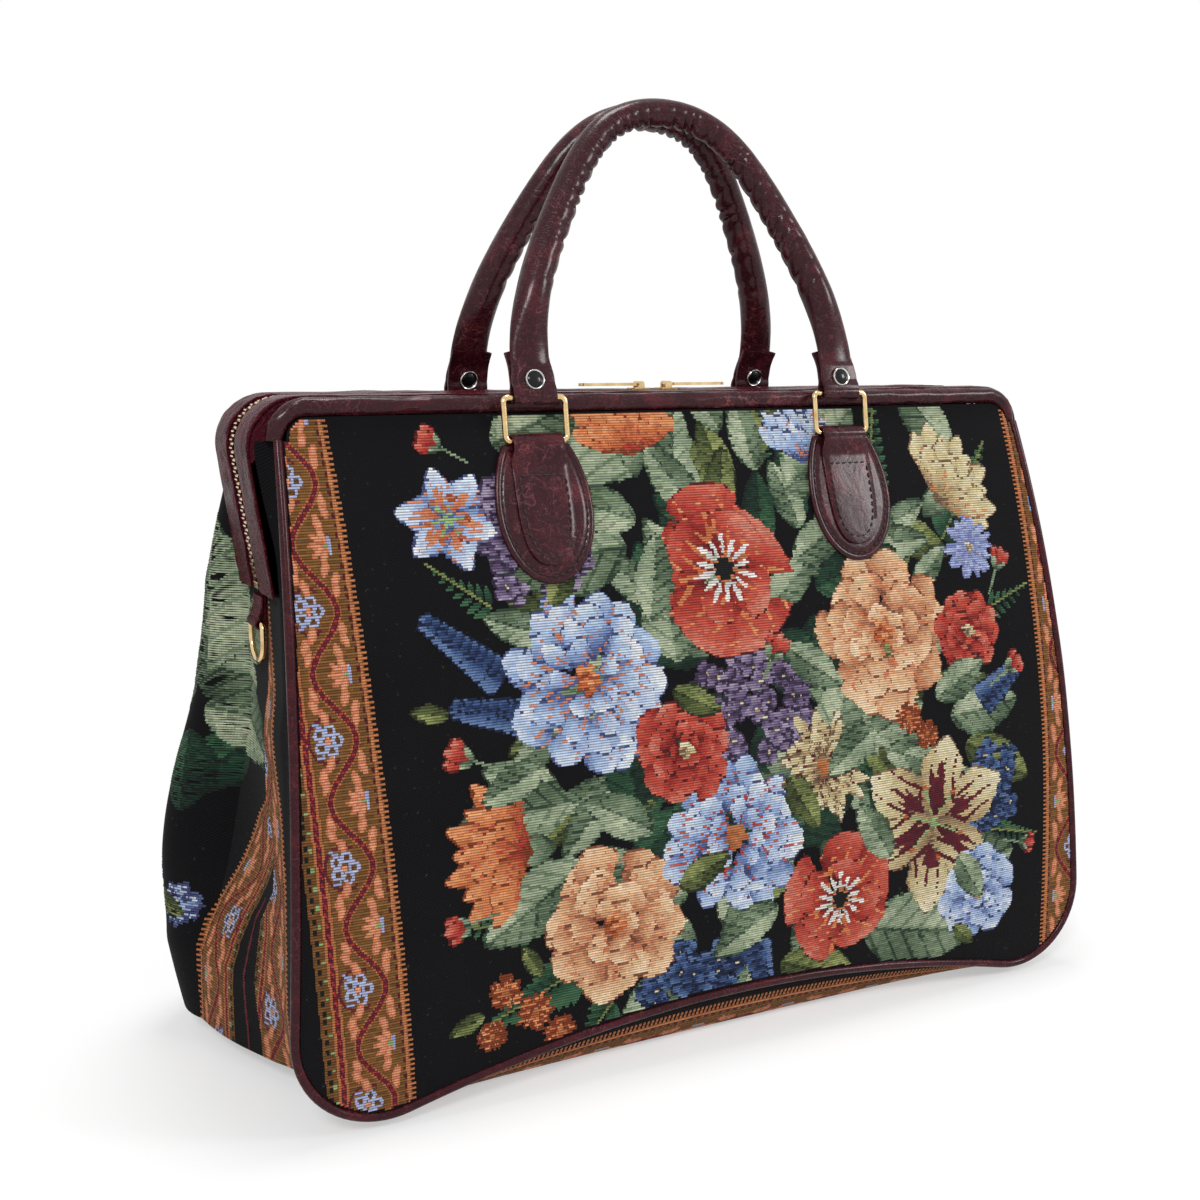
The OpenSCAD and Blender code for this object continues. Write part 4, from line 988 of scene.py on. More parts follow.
def panel_part(columns=96, rows=72):
    inset = PIPE_R + PIPE_GAP
    u = np.sin(np.linspace(-1, 1, columns) * pi / 2)
    x_low = u * (CORNER_CX + (CORNER_R - inset) * cos(SIDE_ANGLE))
    low = np.maximum(seam_z(x_low, inset), 0)
    low = np.where(np.abs(x_low) > CORNER_CX + CORNER_R - inset - 0.05, CORNER_CZ, low)
    x_top = u * (seam_x(SEAM_TOP) - inset)
    over = np.abs(x_top) - RIM_CX
    bend = RIM_CZ + root((RIM_BEND - RIM_INSET) ** 2 - np.square(over))
    top = np.where(over < 0, RIM_H - RIM_INSET, bend)
    z = low + np.linspace(0, 1, rows)[:, None] * (top - low)
    share = np.clip((z - CORNER_CZ) / (SEAM_TOP - CORNER_CZ), 0, 1)
    outer = panel_surface(x_low + (x_top - x_low) * share, z)[:, ::-1]
    return shell(outer, outer + (0, WALL, 0))


def foliage(c, x, z, rx, rz, count):
    """Loose leaves that fill the ground of a bouquet, dark ones first, pointing outward."""
    spots = []
    for i in range(count):
        d, a = math.sqrt((i + 0.5) / count), GOLDEN_ANGLE * i + c.rng.normal(0, 0.3)
        spots.append((x + rx * d * cos(a), z + rz * d * sin(a), math.degrees(a)))
    for share, tone, every in ((0.42, "fern", 1), (0.72, "olive", 3), (1.0, "sage", 2)):
        for i in c.rng.permutation(int(count * share)):
            px, pz, angle = spots[i] if tone == "fern" else spots[-1 - i]
            if i % every:
                continue
            size = c.rng.uniform(0.75, 1.2)
            c.leaf(px, pz, angle + c.rng.normal(0, 38), 40 * size, 19 * size, tone, c.rng.normal(0, 0.25),
                   turn=c.rng.choice((-1, 1)))


def draw_field(c):
    """Bouquet of garden flowers on the broad panel, from its ground up."""
    for frond in ((158, 268, 48, 66), (186, 226, 12, 34), (-96, 62, 206, 62), (-78, 40, 236, 44),
                  (-132, 250, 152, 36), (36, 318, 62, 40), (110, 296, 72, 54), (-120, 90, 180, 46),
                  (176, 96, -20, 40)):
        c.frond(*frond)
    foliage(c, 22, 196, 138, 142, 130)
    for *leaf, bend in (
            (-34, 318, 158, 84, 44, "sage", 0.2), (-52, 276, 186, 78, 42, "sage", -0.2),
            (52, 300, 36, 72, 40, "sage", 0.15), (84, 52, -14, 84, 46, "sage", 0.2),
            (118, 66, 14, 78, 44, "sage", -0.15), (28, 42, -24, 56, 30, "olive", 0.2),
            (-98, 150, 182, 62, 32, "sage", 0.2), (-92, 118, 214, 66, 34, "sage", -0.2),
            (150, 166, 4, 50, 28, "sage", 0.2), (160, 150, -32, 52, 28, "olive", 0.2),
            (-40, 52, 232, 50, 28, "sage", -0.2), (-18, 40, 256, 34, 22, "olive", 0.1),
            (60, 150, 64, 56, 32, "sage", 0.2), (-30, 214, 92, 62, 34, "sage", 0.2),
            (64, 246, 20, 60, 30, "fern", -0.2), (-60, 140, 100, 56, 30, "fern", 0.1),
            (30, 110, 30, 60, 32, "fern", 0.2), (96, 262, 78, 56, 30, "olive", 0.1),
            (-120, 330, 20, 60, 34, "sage", 0.2), (176, 318, 130, 54, 30, "sage", -0.2)):
        c.leaf(*leaf, bend, turn=1 if bend > 0 else -1)
    for spike in ((-130, 214, 140, 52), (-116, 194, 168, 44), (172, 172, 32, 40), (10, 56, -72, 34),
                  (72, 316, 100, 40, "purple")):
        c.spike(*spike)
    for cluster in ((16, 184, 38, 34, "purple", 60), (-108, 284, 33, 29, "purple", 42),
                    (174, 124, 25, 25, "blue", 32), (-34, 46, 34, 18, "blue", 30)):
        c.cluster(*cluster)
    for carnation in ((-112, 128, 176, 46, "orange"), (150, 284, 38, 44, "straw"),
                      (-40, 314, 96, 38, "orange"), (66, 308, 80, 34, "ice")):
        c.carnation(*carnation)
    c.lily(134, 106, 54, "straw", "wine", 0.35)
    c.lily(-150, 294, 27, "ice", "salmon", 0.8)
    c.bloom("dahlia", -84, 210, 47, "ice", heart="orange", streak="salmon")
    c.bloom("camellia", 106, 218, 46, "peach", heart="orange", streak="salmon")
    c.poppy(6, 260, 44)
    c.bloom("camellia", -76, 82, 41, "peach", spin=0.5, heart="orange", streak="salmon")
    c.bloom("dahlia", -2, 118, 43, "ice", spin=0.3, heart="amber", streak="red")
    c.poppy(66, 72, 37)
    c.bloom("aster", 58, 148, 29, "straw", heart="amber", streak="wine")
    c.bloom("camellia", 168, 58, 28, "ice", spin=0.2, streak="lavender")
    c.bloom("camellia", -30, 168, 28, "red")
    c.bloom("camellia", 168, 214, 24, "red", spin=0.4)
    c.bloom("aster", 176, 262, 18, "lavender")
    for leaf in (
            (40, 216, -38, 42, 20), (52, 262, 28, 44, 22), (-44, 236, 74, 46, 22), (-52, 128, 148, 44, 22),
            (34, 146, -62, 36, 18, "olive"), (96, 166, -150, 42, 20), (102, 90, 120, 40, 20),
            (24, 76, 206, 46, 22), (-38, 96, 20, 34, 16, "olive"), (-112, 170, -160, 38, 18),
            (140, 178, 24, 40, 20), (-44, 288, 160, 46, 24), (122, 268, 130, 44, 22),
            (-100, 248, 60, 32, 15, "olive"), (-34, 200, -30, 30, 15, "olive"), (152, 84, -60, 34, 18)):
        c.leaf(*leaf, bend=0.2)
    for bud in ((-152, 178, 158, 9), (-158, 96, 190, 8), (196, 190, 30, 8), (196, 250, 62, 8),
                (-150, 330, 150, 8), (202, 84, -12, 7), (30, 212, 60, 9)):
        c.bud(*bud)
    for berry in ((-122, 44, 10), (-138, 58, 9), (-108, 30, 9), (-146, 36, 8), (120, 168, 9), (132, 158, 8)):
        c.bloom("aster", *berry, "orange", heart="amber")
    for leaf in ((-118, 62, 120), (-150, 48, 200), (-92, 30, 250), (30, 30, 280), (150, 40, -40),
                 (-160, 200, 170)):
        c.leaf(*leaf, 20, 9, "olive")


def front_ink():
    """Bouquet with a border down both sides, clear of the seams and of the rim's bends."""
    c = Canvas(-246, 246, 6, 346, 11)
    draw_field(c)
    c.tidy()
    for side, comb in ((-1, 187 + 0.055 * (c.Z - 30)), (1, 219 + 0 * c.Z)):
        away = side * c.X
        c.clear(away > comb - 1)
        c.border(c.Z, BORDER - (away - comb))
    inset = PIPE_R + 0.6
    inside = (np.abs(c.X) < side_x(c.Z) - inset) & (c.Z > seam_z(c.X, inset) + 0.5)
    over_x, over_z = np.abs(c.X) - RIM_CX, c.Z - RIM_CZ
    bend = (over_x > 0) & (over_z > 0) & (np.hypot(over_x, over_z) > RIM_BEND - RIM_INSET - 0.6)
    c.clear(~inside | bend | (c.Z >= RIM_H - RIM_INSET - 0.5))
    return c


def end_part(low_rows=72, top_rows=26, mid_columns=26, strip_columns=24):
    low, top = np.linspace(END_LOW_Z, NOTCH_Z, low_rows), np.linspace(NOTCH_Z, SEAM_TOP - SEAM_GAP, top_rows)
    z = np.concatenate([low, top[1:]])[:, None]
    mid = NOTCH_Y * np.linspace(-1, 1, mid_columns + 1)
    left = -(NOTCH_Y + (end_y(z) - NOTCH_Y) * np.linspace(1, 0, strip_columns + 1)[:-1])
    y = np.concatenate([left, np.tile(mid, (len(z), 1)), -left[:, ::-1]], 1)
    outer = end_surface(y, np.broadcast_to(z, y.shape))[:, ::-1]
    # The zip's facings lie in a notch at the top
    keep = np.ones((y.shape[0] - 1, y.shape[1] - 1), bool)
    keep[low_rows - 1:, strip_columns:strip_columns + mid_columns] = False
    return shell(outer, outer - (WALL, 0, 0), keep)


def end_ink():
    """Leaves on the back half of an end, and two borders that run into a fold behind its front edge."""
    c = Canvas(-100, 100, END_LOW_Z, SEAM_TOP - 2, 23)
    for leaf in ((30, 176, -64, 44, 26, "fern"), (56, 172, 262, 44, 26, "fern"),
                 (18, 190, 232, 36, 22, "fern"), (50, 186, 196, 58, 34), (58, 200, -20, 40, 28),
                 (20, 200, 16, 50, 34), (28, 214, 122, 46, 34), (50, 206, 88, 86, 46),
                 (70, 226, 70, 50, 30)):
        c.leaf(*leaf, bend=0.15)
    c.spike(84, 120, 60, 34)
    c.bloom("aster", 80, 90, 14, "ice", streak="lavender")
    c.bloom("aster", 50, 76, 12, "ice", streak="lavender")
    c.leaf(70, 80, 200, 26, 12, "olive")
    c.tidy()
    # Lines down the end: comb edge of the back border, the fold, and comb edge of the front border
    comb = np.interp(c.Z, (31, 69, 82, 107, 135, 147, 151), (36, 38, 35, 21, 8, -4, -40))
    fold = np.interp(c.Z, (31, 68, 83, 102, 123, 147, 190, 227, 260),
                     (-24, -18, -14, -24, -18, -4, -3, -9, -13))
    lip = np.interp(c.Z, (31, 57, 82, 123, 171, 243, 300), (-58, -64, -60, -38, -26, -15, -10))
    c.clear(c.X < np.maximum(comb, fold) + 1)
    c.border(c.Z, np.where(c.X > fold, BORDER - (comb - c.X) * 1.2, -1))
    c.clear(c.X < fold)
    c.border(c.Z + PERIOD / 2, np.where((c.X < fold) & (c.Z < 256), BORDER - (c.X - lip), -1))
    piping = (np.abs(c.X - (comb - 37.5 + fold) / 2) < 0.8) & (c.Z < 95)
    c.put((slice(None), slice(None)), piping, "wine", 0.9 + 0 * c.X)
    notch = (np.abs(c.X) < NOTCH_Y + 1) & (c.Z > NOTCH_Z - 1.5)
    c.clear((np.abs(c.X) >= end_y(c.Z) - 0.8) | notch)
    return c


def base_part(edge=12):
    def shares(flat, middle):
        low, high = np.linspace(-1, -flat, edge)[:-1], np.linspace(flat, 1, edge)[1:]
        return np.concatenate([low, np.linspace(-flat, flat, middle), high])
    outer = base_surface(*np.meshgrid(shares(FLAT_X, 61), shares(FLAT_Y, 25)))
    return shell(outer, outer + (0, 0, WALL))


def base_threads(side):
    """Border along one long edge of the base; side is -1 at the front and 1 at the back."""
    c = Canvas(-236, 236, -96, -40, 31)
    c.border(c.X, BORDER + 2 - (c.Z + 96) + 0 * c.X)

    def under(x, y):
        v = -side * y / BASE_Y
        return base_surface(-side * x / base_end_x(v), v)
    c.clear(np.abs(c.X) >= base_end_x(-side * c.Z / BASE_Y) - 1.5)
    return threads(c, under, flip=True)[0]


panel = panel_part()
field = threads(front_ink(), panel_surface, longest=14.0, split=0.0)
front, back = link_pair("panel", panel, FRONT_CLOTH, "tapestry")
woven = {"front": [], "back": []}
for half, other, part in (("left", "right", field[0]), ("right", "left", field[1])):
    woven["front"].append(link_threads(f"front_{half}_threads", part, FRONT_THREAD))
    woven["back"].append(link_threads(f"back_{other}_threads", placed(part, (-1, -1, 1)), FRONT_THREAD))
end = end_part()
end_field = threads(end_ink(), end_surface)[0]
for side, part, weave in (("right", end, end_field), ("left", mirrored(end), placed(end_field, (-1, 1, 1)))):
    cloth = link(f"{side}_gusset", part, END_CLOTH, slot="tapestry")
    weave = link_threads(f"{side}_gusset_threads", weave, END_THREAD)
cloth = link("base_panel", base_part(), BASE_CLOTH, slot="tapestry")
weaves = [link_threads(f"base_{face}_threads", base_threads(side), FRONT_THREAD)
          for face, side in (("front", -1), ("back", 1))]

# Leather piping and rims
rng = np.random.default_rng(5)


def wobble(count, sides, amount, grain=5):
    """Gentle unevenness of a rolled skin, smooth along it."""
    rough = rng.normal(0, 1, (count // grain + 3, sides))
    t = np.linspace(0, len(rough) - 1.001, count)
    i = t.astype(int)
    f = smooth((t - i)[:, None])
    return amount * (rough[i] * (1 - f) + rough[i + 1] * f)


seam = np.array([(x, PIPE_SET - float(panel_y(z)), z) for x, z in seam_line()])
link_pair("piping", tube(seam, PIPE_R + wobble(len(seam), 14, 0.07), 14), PIPING)
angles = np.linspace(0, pi / 2, 22)[1:]
bend = [(RIM_CX + RIM_BEND * sin(a), -HALF_RIM, RIM_CZ + RIM_BEND * cos(a)) for a in angles]
rim = [(x, -HALF_RIM, RIM_H) for x in np.linspace(-RIM_CX, RIM_CX, 140)]
rim = [(-x, y, z) for x, y, z in reversed(bend)] + rim + bend
link_pair("rim", tube(rim, RIM_R + wobble(len(rim), 24, 0.16, 3), 24), LEATHER)


# Facings and zip
def along_zip(n, y_from, y_to, thick, uneven=0.0, sides=28):
    """Strap along the whole zip at height n, with an uneven outer face."""
    x, z, nx, nz = zip_path(n + thick / 2).T
    centre = np.stack([x, np.full(len(x), -(y_from + y_to) / 2), z], -1)
    normal = np.stack([nx, 0 * nx, nz], -1)
    points, faces = ribbon(centre, normal, Y_AXIS, (y_to - y_from) / 2, thick / 2, sides, 7.0)
    if uneven:
        shift = np.abs(wobble(len(x), sides, uneven, 4)).reshape(-1, 1)
        outside = np.tile(np.sin(around(sides) + np.pi / sides) > 0, len(x))[:, None]
        points = points + np.repeat(normal, sides, 0) * shift * outside
    return points, faces


def corner_fold(steps=40):
    """Leather between the turn of a facing and the bend of the rim, where the facing is sewn to it."""
    t = np.linspace(0, 1, steps)
    a, b, r = pi / 2 - t * FOLD_TURN, pi / 2 * (1 - t), TURN_R + FACING_N
    outer = np.stack([ZIP_CX + r * np.cos(a), 0 * t - FACING_TO + 0.5, ZIP_CZ + r * np.sin(a)], -1)
    inner_y = 0 * t - HALF_RIM + RIM_R - 0.9
    inner = np.stack([RIM_CX + RIM_BEND * np.cos(b), inner_y, RIM_CZ + RIM_BEND * np.sin(b)], -1)
    wide = np.linalg.norm(inner - outer, axis=1)
    across, centre = (inner - outer) / wide[:, None], (outer + inner) / 2
    normal = np.cross(tangents(centre), across)
    bow = FOLD_BOW * np.sin(pi * t) ** 2
    return ribbon(centre + Y_AXIS * bow[:, None], normal, across, wide / 2, FOLD_T / 2)


link_pair("facing", along_zip(FACING_N, FACING_FROM, FACING_TO, FACING_T, 0.25), FACING)
fold = corner_fold()
link_pair("corner_folds", merge(fold, mirrored(fold)), FACING)
tape = along_zip(-TAPE_T / 2, TAPE_FROM, TAPE_FROM + TAPE_W, TAPE_T, sides=12)
link_pair("zip_tape", tape, TAPE, "zip_tape")


# Stitching
def stitches(paths, pitch=4.2, length=3.0, radius=0.5):
    """Closed thread stitches along paths, each path as (points, normals)."""
    parts = []
    t = np.linspace(-1, 1, 7)
    for points, normals in paths:
        gone = np.concatenate([[0], np.cumsum(np.linalg.norm(np.diff(points, axis=0), axis=1))])
        at = lambda s, data: np.stack([np.interp(s, gone, data[:, i]) for i in range(3)], -1)
        for mid in np.arange(pitch / 2, gone[-1] - pitch / 3, pitch):
            lift = unit(at(mid + t * length / 2, normals))
            rise = radius * 0.5 * (1 - t[:, None] ** 2) - 0.05
            centre = at(mid + t * length / 2, points) + lift * rise
            parts.append(tube(centre, radius * np.sqrt(np.maximum(1 - t ** 2, 0.04)), 7, lift))
    return merge(*parts)


# Chapes that hold the carrying rings; the rings turn in the loops of their tongues
LOOP_R, LOOP_MID_R = WIRE_R + LOOP_PLAY + LOOP_T, WIRE_R + LOOP_PLAY + LOOP_T / 2
RING_Z = RIM_H - RING_DROP
RING_Y = float(panel_y(RING_Z)) + CHAPE_GAP + LOOP_R
BAR_Y = RING_Y - RING_H * sin(RING_LEAN)
BAR_Z = RING_Z + RING_H * cos(RING_LEAN)
TONGUE_RISE = CHAPE_GAP + CHAPE_T + TONGUE_T / 2


def on_panel(line, rise):
    """Points of an (x, z) line at that rise over the upper front panel, with their normals."""
    x, z = line.T
    slope = panel_y(z + 0.5) - panel_y(z - 0.5)
    normal = unit(np.stack([0 * z, -np.ones_like(z), -slope], -1))
    return np.stack([x, -panel_y(z), z], -1) + normal * rise, normal


def inset_line(line, gap):
    """Closed (x, z) line moved inward."""
    t = unit(np.roll(line, -1, 0) - np.roll(line, 1, 0))
    return line + gap * np.stack([-t[:, 1], t[:, 0]], -1)


def chape_outline():
    """Outline of a pad: half an ellipse below, a flatter crown above, cut straight at the ring."""
    deep = CHAPE_L - CHAPE_MID
    low = [(CHAPE_W / 2 * cos(a), RING_Z - CHAPE_MID + deep * sin(a)) for a in np.linspace(pi, 2 * pi, 48)]
    down = np.linspace(CHAPE_MID, CHAPE_EDGE, 22)[1:]
    half = CHAPE_W / 2 * root(1 - np.square((CHAPE_MID - down) / CHAPE_CROWN))
    right = list(zip(half, RING_Z - down))
    top = [(x, RING_Z - CHAPE_EDGE) for x in np.linspace(half[-1], -half[-1], 12)[1:-1]]
    return np.array(low + right + top + [(-x, z) for x, z in right[::-1]])


def chape_pad():
    """Pad with a rolled edge and a sunk seam, as rings from its back to its face."""
    line = chape_outline()
    edge = [(0.4, 0.0), (0.0, 0.7), (0.1, 1.5), (0.5, 2.05), (1.3, CHAPE_T), (2.6, CHAPE_T - 0.05),
            (PAD_SEAM, CHAPE_T - 0.8), (4.8, CHAPE_T - 0.05), (7.0, CHAPE_T)]
    centre = np.array([0.0, RING_Z - CHAPE_L / 2])
    toward = lambda share, ring: centre + share * (ring - centre)
    rings = [(toward(share, line), 0.0) for share in (0.3, 0.6, 0.85)]
    rings += [(inset_line(line, gap), rise) for gap, rise in edge]
    last = rings[-1][0]
    rings += [(toward(share, last), CHAPE_T) for share in (0.75, 0.5, 0.25, 0.06)]
    points, faces = loft([on_panel(ring, CHAPE_GAP + rise)[0] for ring, rise in rings])
    return points, [f[::-1] for f in faces]


def tongue_taper(share):
    """Half width of a tongue's round end, as a share, from where it tapers to its tip."""
    return np.power(np.maximum(1 - share ** 3.4, 0.00002), 1 / 2.6)


def chape_tongue(loop_steps=40):
    """Tongue that folds round the ring and lies on the pad, along a path of (rise over the panel, z)."""
    bar = np.array([CHAPE_GAP + LOOP_R, RING_Z])
    arc = np.radians(np.linspace(238, -28, loop_steps))
    path = [tuple(bar + LOOP_MID_R * np.array([cos(a), sin(a)])) for a in arc]
    d0, z0 = path[-1]
    for t in np.linspace(0, 1, 14)[1:]:
        path.append((d0 + (TONGUE_RISE - d0) * float(smooth(t)), z0 - t * 13))
    taper = RING_Z - TONGUE_TAPER
    path += [(TONGUE_RISE, z) for z in np.linspace(path[-1][1], taper, 8)[1:]]
    for a in np.linspace(0, pi / 2, 34)[1:]:
        path.append((TONGUE_RISE, taper - (TONGUE_L - TONGUE_TAPER) * sin(a) ** 0.7))
    rise, z = np.array(path).T
    centre = np.stack([0 * z, -panel_y(z) - rise, z], -1)
    lying = np.arange(len(path)) >= loop_steps
    half = CHAPE_LOOP / 2 + (TONGUE_W - CHAPE_LOOP) / 2 * smooth((RING_Z - z - 3) / 7) * lying
    half = half * tongue_taper(np.clip((RING_Z - z - TONGUE_TAPER) / (TONGUE_L - TONGUE_TAPER), 0, 1))
    thick = np.where(lying, TONGUE_T / 2, LOOP_T / 2 - SKIN_GAP)
    return ribbon(centre, np.cross(X_AXIS, tangents(centre)), X_AXIS, half, thick, 24, 7.0)


def chape_stitches():
    """Seams round the pad, round the tongue and across it under the ring."""
    pad = inset_line(chape_outline(), PAD_SEAM)
    pad = pad[np.argsort(np.arctan2(pad[:, 0], -(pad[:, 1] - RING_Z + 30)))]
    pad = pad[pad[:, 1] < RING_Z - 13]
    half, deep = TONGUE_W / 2 - TONGUE_SEAM, TONGUE_L - TONGUE_TAPER - TONGUE_SEAM
    share = np.sin(np.linspace(0, pi / 2, 30)) ** 0.7
    reach = half * np.power(np.maximum(1 - share ** 3.4, 0), 1 / 2.6)
    arc = list(zip(reach, RING_Z - TONGUE_TAPER - deep * share))
    bar_z = RING_Z - BAR_SEAM
    tongue = [(-half, bar_z)] + [(-x, z) for x, z in arc] + arc[-2::-1] + [(half, bar_z)]
    bar = [(x, bar_z) for x in np.linspace(-half, half, 8)]
    over = TONGUE_RISE + TONGUE_T / 2 - 0.05
    return stitches([on_panel(pad, CHAPE_GAP + CHAPE_T - 0.55), on_panel(np.array(tongue), over),
                     on_panel(np.array(bar), over)])


def moved(part, x):
    points, faces = part
    return points + x * X_AXIS, faces


ENDS = (-RING_SPAN / 2, RING_SPAN / 2)
chape = merge(chape_pad(), chape_tongue())
sewing = chape_stitches()
for k, x in enumerate(ENDS):
    for face, (place, sides) in FACES.items():
        link(f"{face}_{sides[k]}_chape", place(moved(chape, x)), LEATHER)
        link(f"{face}_{sides[k]}_chape_stitches", place(moved(sewing, x)), STITCH)

# Handles
HANDLE_LEAN = math.asin((BAR_Y - HANDLE_R - HANDLE_GAP / 2) / HANDLE_H)
STEPS, PLAIN = 2 * GATHERS + 16, 8


def on_handle(part, x=0.0):
    """From the handle's own plane, at the ring's upper bar and moved by x, to the front of the bag."""
    (px, y, z), (c, s) = moved(part, x)[0].T, (cos(HANDLE_LEAN), sin(HANDLE_LEAN))
    return np.stack([px, -BAR_Y + y * c + z * s, BAR_Z - y * s + z * c], -1), part[1]


def handle_roll(rings=430, sides=32):
    """Rolled handle, flat at both ends, with uneven gathers on the inside of its arch."""
    i = np.linspace(0, STEPS, rings)
    t = pi * i / STEPS
    arch = RING_SPAN / 2 * np.cos(t) * (1 - ARCH_SQUEEZE * np.square(np.sin(2 * t)))
    path = np.stack([arch, 0 * t, HANDLE_FOOT + (HANDLE_H - HANDLE_FOOT) * np.sin(t)], -1)
    # Closed ends, sunk between the strap's two layers
    sunk = np.array([6.5, 5.0, 3.4, 1.8, 0.8])
    ends = len(sunk)
    i = np.concatenate([0 * sunk, i, 0 * sunk + STEPS])
    path = np.concatenate([path[:1] - sunk[:, None] * Z_AXIS, path, path[-1:] - sunk[::-1, None] * Z_AXIS])
    inner = np.cross(tangents(path), Y_AXIS)
    k = np.minimum(i, STEPS - i)
    f, e = smooth(k / PLAIN), smooth(k / (STEPS / 2))
    r = HANDLE_END_R + (HANDLE_R - HANDLE_END_R) * e
    half_w = (1 - f) * (STRAP_W / 2 - 1) + f * r
    half_t = (1 - f) * (STRAP_T / 2 + 0.4) + f * r
    half_t[:ends] -= 0.16 * sunk
    half_t[-ends:] -= 0.16 * sunk[::-1]
    a = around(sides)
    c, s = np.cos(a), np.sin(a)
    fade = smooth((k - PLAIN + 1) / 3)
    near = np.power(np.clip((c + 0.4) / 1.4, 0, 1), 1.7)
    knots = np.arange(0, STEPS + 2, 2)
    uneven = np.random.default_rng(21)
    drift = np.interp(i, knots, uneven.normal(0, 0.2, len(knots)))
    depth = fade * np.interp(i, knots, uneven.uniform(0.3, 1.2, len(knots)))
    slant = np.interp(i, knots, uneven.uniform(0.3, 0.85, len(knots)))[:, None] * s
    gather = np.abs(np.sin(pi * ((i / 2 + drift)[:, None] + slant)))
    dip = GATHER_DEPTH * near * (1 - np.power(gather, 0.75)) * depth[:, None]
    crease = CREASE_DEPTH * np.maximum(c + 0.6, 0) * (1 - gather) ** 3 * depth[:, None]
    lip = SEAM_LIP * np.exp(-np.square(np.minimum(a, 2 * np.pi - a) / 0.22)) * fade[:, None]
    grow = 1 + wobble(len(i), sides, 0.004, 6)
    rise = lip - dip - crease
    w, t = half_w[:, None] * grow + rise, half_t[:, None] * grow + rise
    return loft(path[:, None] + (w * c)[..., None] * inner[:, None] + (t * s)[..., None] * Y_AXIS)


def handle_end(outer_steps=22):
    """Strap end: it leaves the roll on the outer face, folds round the ring's upper bar and is riveted back
    on the inner face, along a path of (y, z) in the handle's plane."""
    neck = lambda z: 1.45 + (LOOP_MID_R - 1.45) * smooth((7.5 - z) / 5)
    outer_z, inner_z = np.linspace(HANDLE_FOOT + 2, 2.4, outer_steps), np.linspace(2.4, STRAP_L + 1, 28)
    outer = np.stack([-neck(outer_z) + 0.9 * smooth((outer_z - 15) / 4), outer_z], -1)
    inner = np.stack([neck(inner_z) + 3.2 * smooth((inner_z - 13.5) / 14), inner_z], -1)
    arc = np.radians(np.linspace(158, 382, 30))
    y, z = np.concatenate([outer, LOOP_MID_R * np.stack([np.cos(arc), np.sin(arc)], -1), inner]).T
    centre = np.stack([0 * y, y, z], -1)
    thick = np.where(z > 4, 1.2, LOOP_T / 2 - SKIN_GAP)
    half = STRAP_W / 2 + 0 * z
    half[:outer_steps] -= 1.2 * smooth((outer_z - 9) / 9)
    points, faces = ribbon(centre, np.cross(X_AXIS, tangents(centre)), X_AXIS, half, thick, 24, 7.0)
    torn = np.clip((points[:, 2] - STRAP_L + 5) / 6, 0, 1) * (points[:, 1] > 0)
    points[:, 2] += torn * (0.5 * np.sin(points[:, 0] * 0.7) + 0.05 * points[:, 0] - 1.5)
    return points, faces


def rivet_part(sides=36):
    """Two turned caps back to back, as a part and the material of each face: black, with a silver ring."""
    cap = [(0.2, 1.75), (1.6, 1.68), (3.0, 1.38), (3.9, 0.95), (4.15, 0.75), (4.3, 1.15), (4.6, 1.7),
           (4.95, RIVET_H - 0.3), (5.25, 1.6), (RIVET_R, 1.0), (RIVET_R - 0.05, 0.35), (5.1, 0.0), (1.5, 0.0),
           (0.2, -0.1)]
    silver = range(4, 11)
    k = around(sides)
    points, faces = loft([np.stack([r * np.cos(k), np.full(sides, -h), r * np.sin(k)], -1) for r, h in cap])
    paint = [int(min(i // sides, len(cap) - 2) in silver) for i in range(len(faces))]
    reach = STRAP_T / 2 + POST_PLAY
    near = (points + (0, -reach, RIVET_RISE), faces)
    far = (points * (1, -1, 1) + (0, reach, RIVET_RISE), [f[::-1] for f in faces])
    return merge(near, far), paint + paint


roll = on_handle(handle_roll())
strap = handle_end()
rivet, rivet_paint = rivet_part()
for face, (place, sides) in FACES.items():
    body = f"{face}_handle"
    link(body, place(roll), LEATHER, body=body)
    for side, x in zip(sides, ENDS):
        link(f"{face}_{side}_strap_end", place(on_handle(strap, x)), LEATHER, body=body)
        cap = link(f"{face}_{side}_rivet", place(on_handle(rivet, x)), RIVET, SILVER, slot="rivet_metal",
                   body=body)
        cap.data.polygons.foreach_set("material_index", np.array(rivet_paint, np.int32))

# End tabs
D_LOOP_R = D_WIRE_R + LOOP_PLAY + D_TAB_T
D_BAR_X = END_FOLD_X + CHAPE_GAP + D_LOOP_R


def end_tab():
    """Tab that hangs from the zip's foot and folds round the bar of a D-ring."""
    mid_r = D_WIRE_R + LOOP_PLAY + D_TAB_T / 2
    near, far = D_BAR_X - D_LOOP_R + D_TAB_T / 2, D_BAR_X - D_LOOP_R + 1.5 * D_TAB_T
    bulge = D_BAR_X + mid_r * cos(1.2) - far
    outer = [(far + bulge * float(smooth((9 - z) / 6)), D_BAR_Z + z) for z in np.linspace(D_TAB_H, 3.6, 14)]
    arc = [polar(D_BAR_X, D_BAR_Z, a, mid_r) for a in np.linspace(1.1, -pi, 30)]
    inner = [(near, D_BAR_Z + z) for z in np.linspace(1.0, D_TAB_H, 12)]
    x, z = np.array(outer + arc + inner).T
    centre = np.stack([x, 0 * x, z], -1)
    return ribbon(centre, np.cross(Y_AXIS, tangents(centre)), Y_AXIS, D_TAB_W / 2, D_TAB_T / 2 - SKIN_GAP)


tab = end_tab()
link("right_d_tab", tab, FACING)
link("left_d_tab", mirrored(tab), FACING)

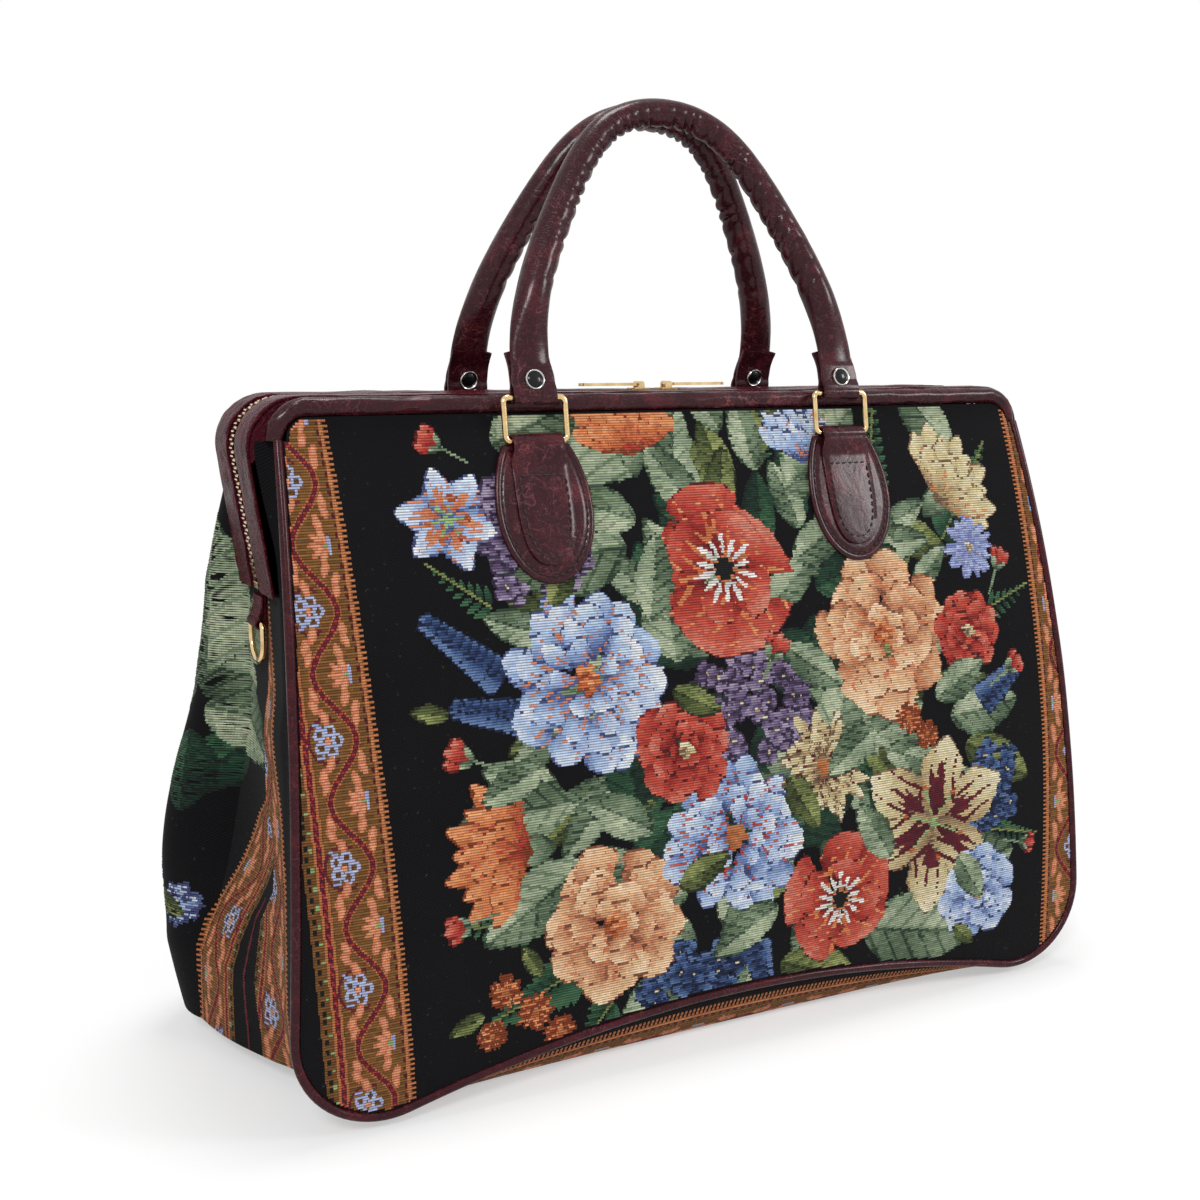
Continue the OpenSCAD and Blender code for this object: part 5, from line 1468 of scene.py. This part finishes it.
# Rigid pieces that keep their own solids
SOLID_LOOKS = {("_ring", "_slider", "_pull", "_teeth", "_stop"): GOLD, ("_board",): BOARD, ("_core",): CORE}
for name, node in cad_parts.items():
    for endings, look in SOLID_LOOKS.items():
        if name.endswith(endings):
            node.data.materials.clear()
            node.data.materials.append(look)


# Studio, in metres
def floor():
    """Pale floor that shows as white further out, and keeps the bag's shadow."""
    size, level = 6, -0.0004
    mesh = bpy.data.meshes.new("floor")
    corners = [(-size, -size, level), (size, -size, level), (size, size, level), (-size, size, level)]
    mesh.from_pydata(corners, [], [(0, 1, 2, 3)])
    ground = bpy.data.objects.new("floor", mesh)
    bpy.context.scene.collection.objects.link(ground)
    k = Look("floor")
    k.set(Base_Color=(0.92, 0.92, 0.92, 1.0), Roughness=0.9, Specular_IOR_Level=0.0)
    away = k.node("ShaderNodeVectorMath", [k.place], operation="LENGTH").outputs["Value"]
    share = k.math("MULTIPLY", k.seen(), k.ramp(away, 0.3, 0.75, 0.45, 1.0))
    white = k.node("ShaderNodeEmission", [(1, 1, 1, 1), 1.0]).outputs[0]
    k.feed(k.out.inputs[0], k.mix_shaders(share, k.shader.outputs[0], white))
    mesh.materials.append(k.material)


def backdrop():
    """White behind the bag, and a softer white light from all round."""
    world = bpy.context.scene.world = bpy.data.worlds.new("studio")
    world.use_nodes = True
    k = Nodes(world.node_tree)
    soft, white = (k.node("ShaderNodeBackground", [(1, 1, 1, 1), power]).outputs[0] for power in (0.55, 1.0))
    k.node("ShaderNodeOutputWorld", [k.mix_shaders(k.seen(), soft, white)])


def aimed(name, data, place, toward):
    """Lamp or camera at a place, looking along a direction."""
    obj = bpy.data.objects.new(name, data)
    bpy.context.scene.collection.objects.link(obj)
    obj.location = place
    obj.rotation_euler = toward.to_track_quat("-Z", "Y").to_euler()
    return obj


def studio():
    bpy.context.scene.view_settings.view_transform = "Standard"
    floor()
    backdrop()
    aim = Vector((0, 0, 0.22))
    for name, place, size, power in (("key", (-1.2, -1.6, 1.7), 0.5, 25), ("fill", (1.5, -1.3, 1.1), 0.5, 14),
                                     ("top", (0.1, 0.2, 2.1), 0.6, 18)):
        lamp = bpy.data.lights.new(name, "AREA")
        lamp.energy, lamp.size = power, size
        aimed(name, lamp, place, aim - Vector(place))
    camera = bpy.data.cameras.new("camera")
    camera.lens, camera.sensor_width = 43.8, 36.0
    camera.clip_start, camera.clip_end = 0.05, 50
    az, el = radians(26.9), radians(9.6)
    toward = Vector((sin(az) * cos(el), cos(az) * cos(el), -sin(el)))
    bpy.context.scene.camera = aimed("camera", camera, (-0.4092, -0.7401, 0.3757), toward)


studio()
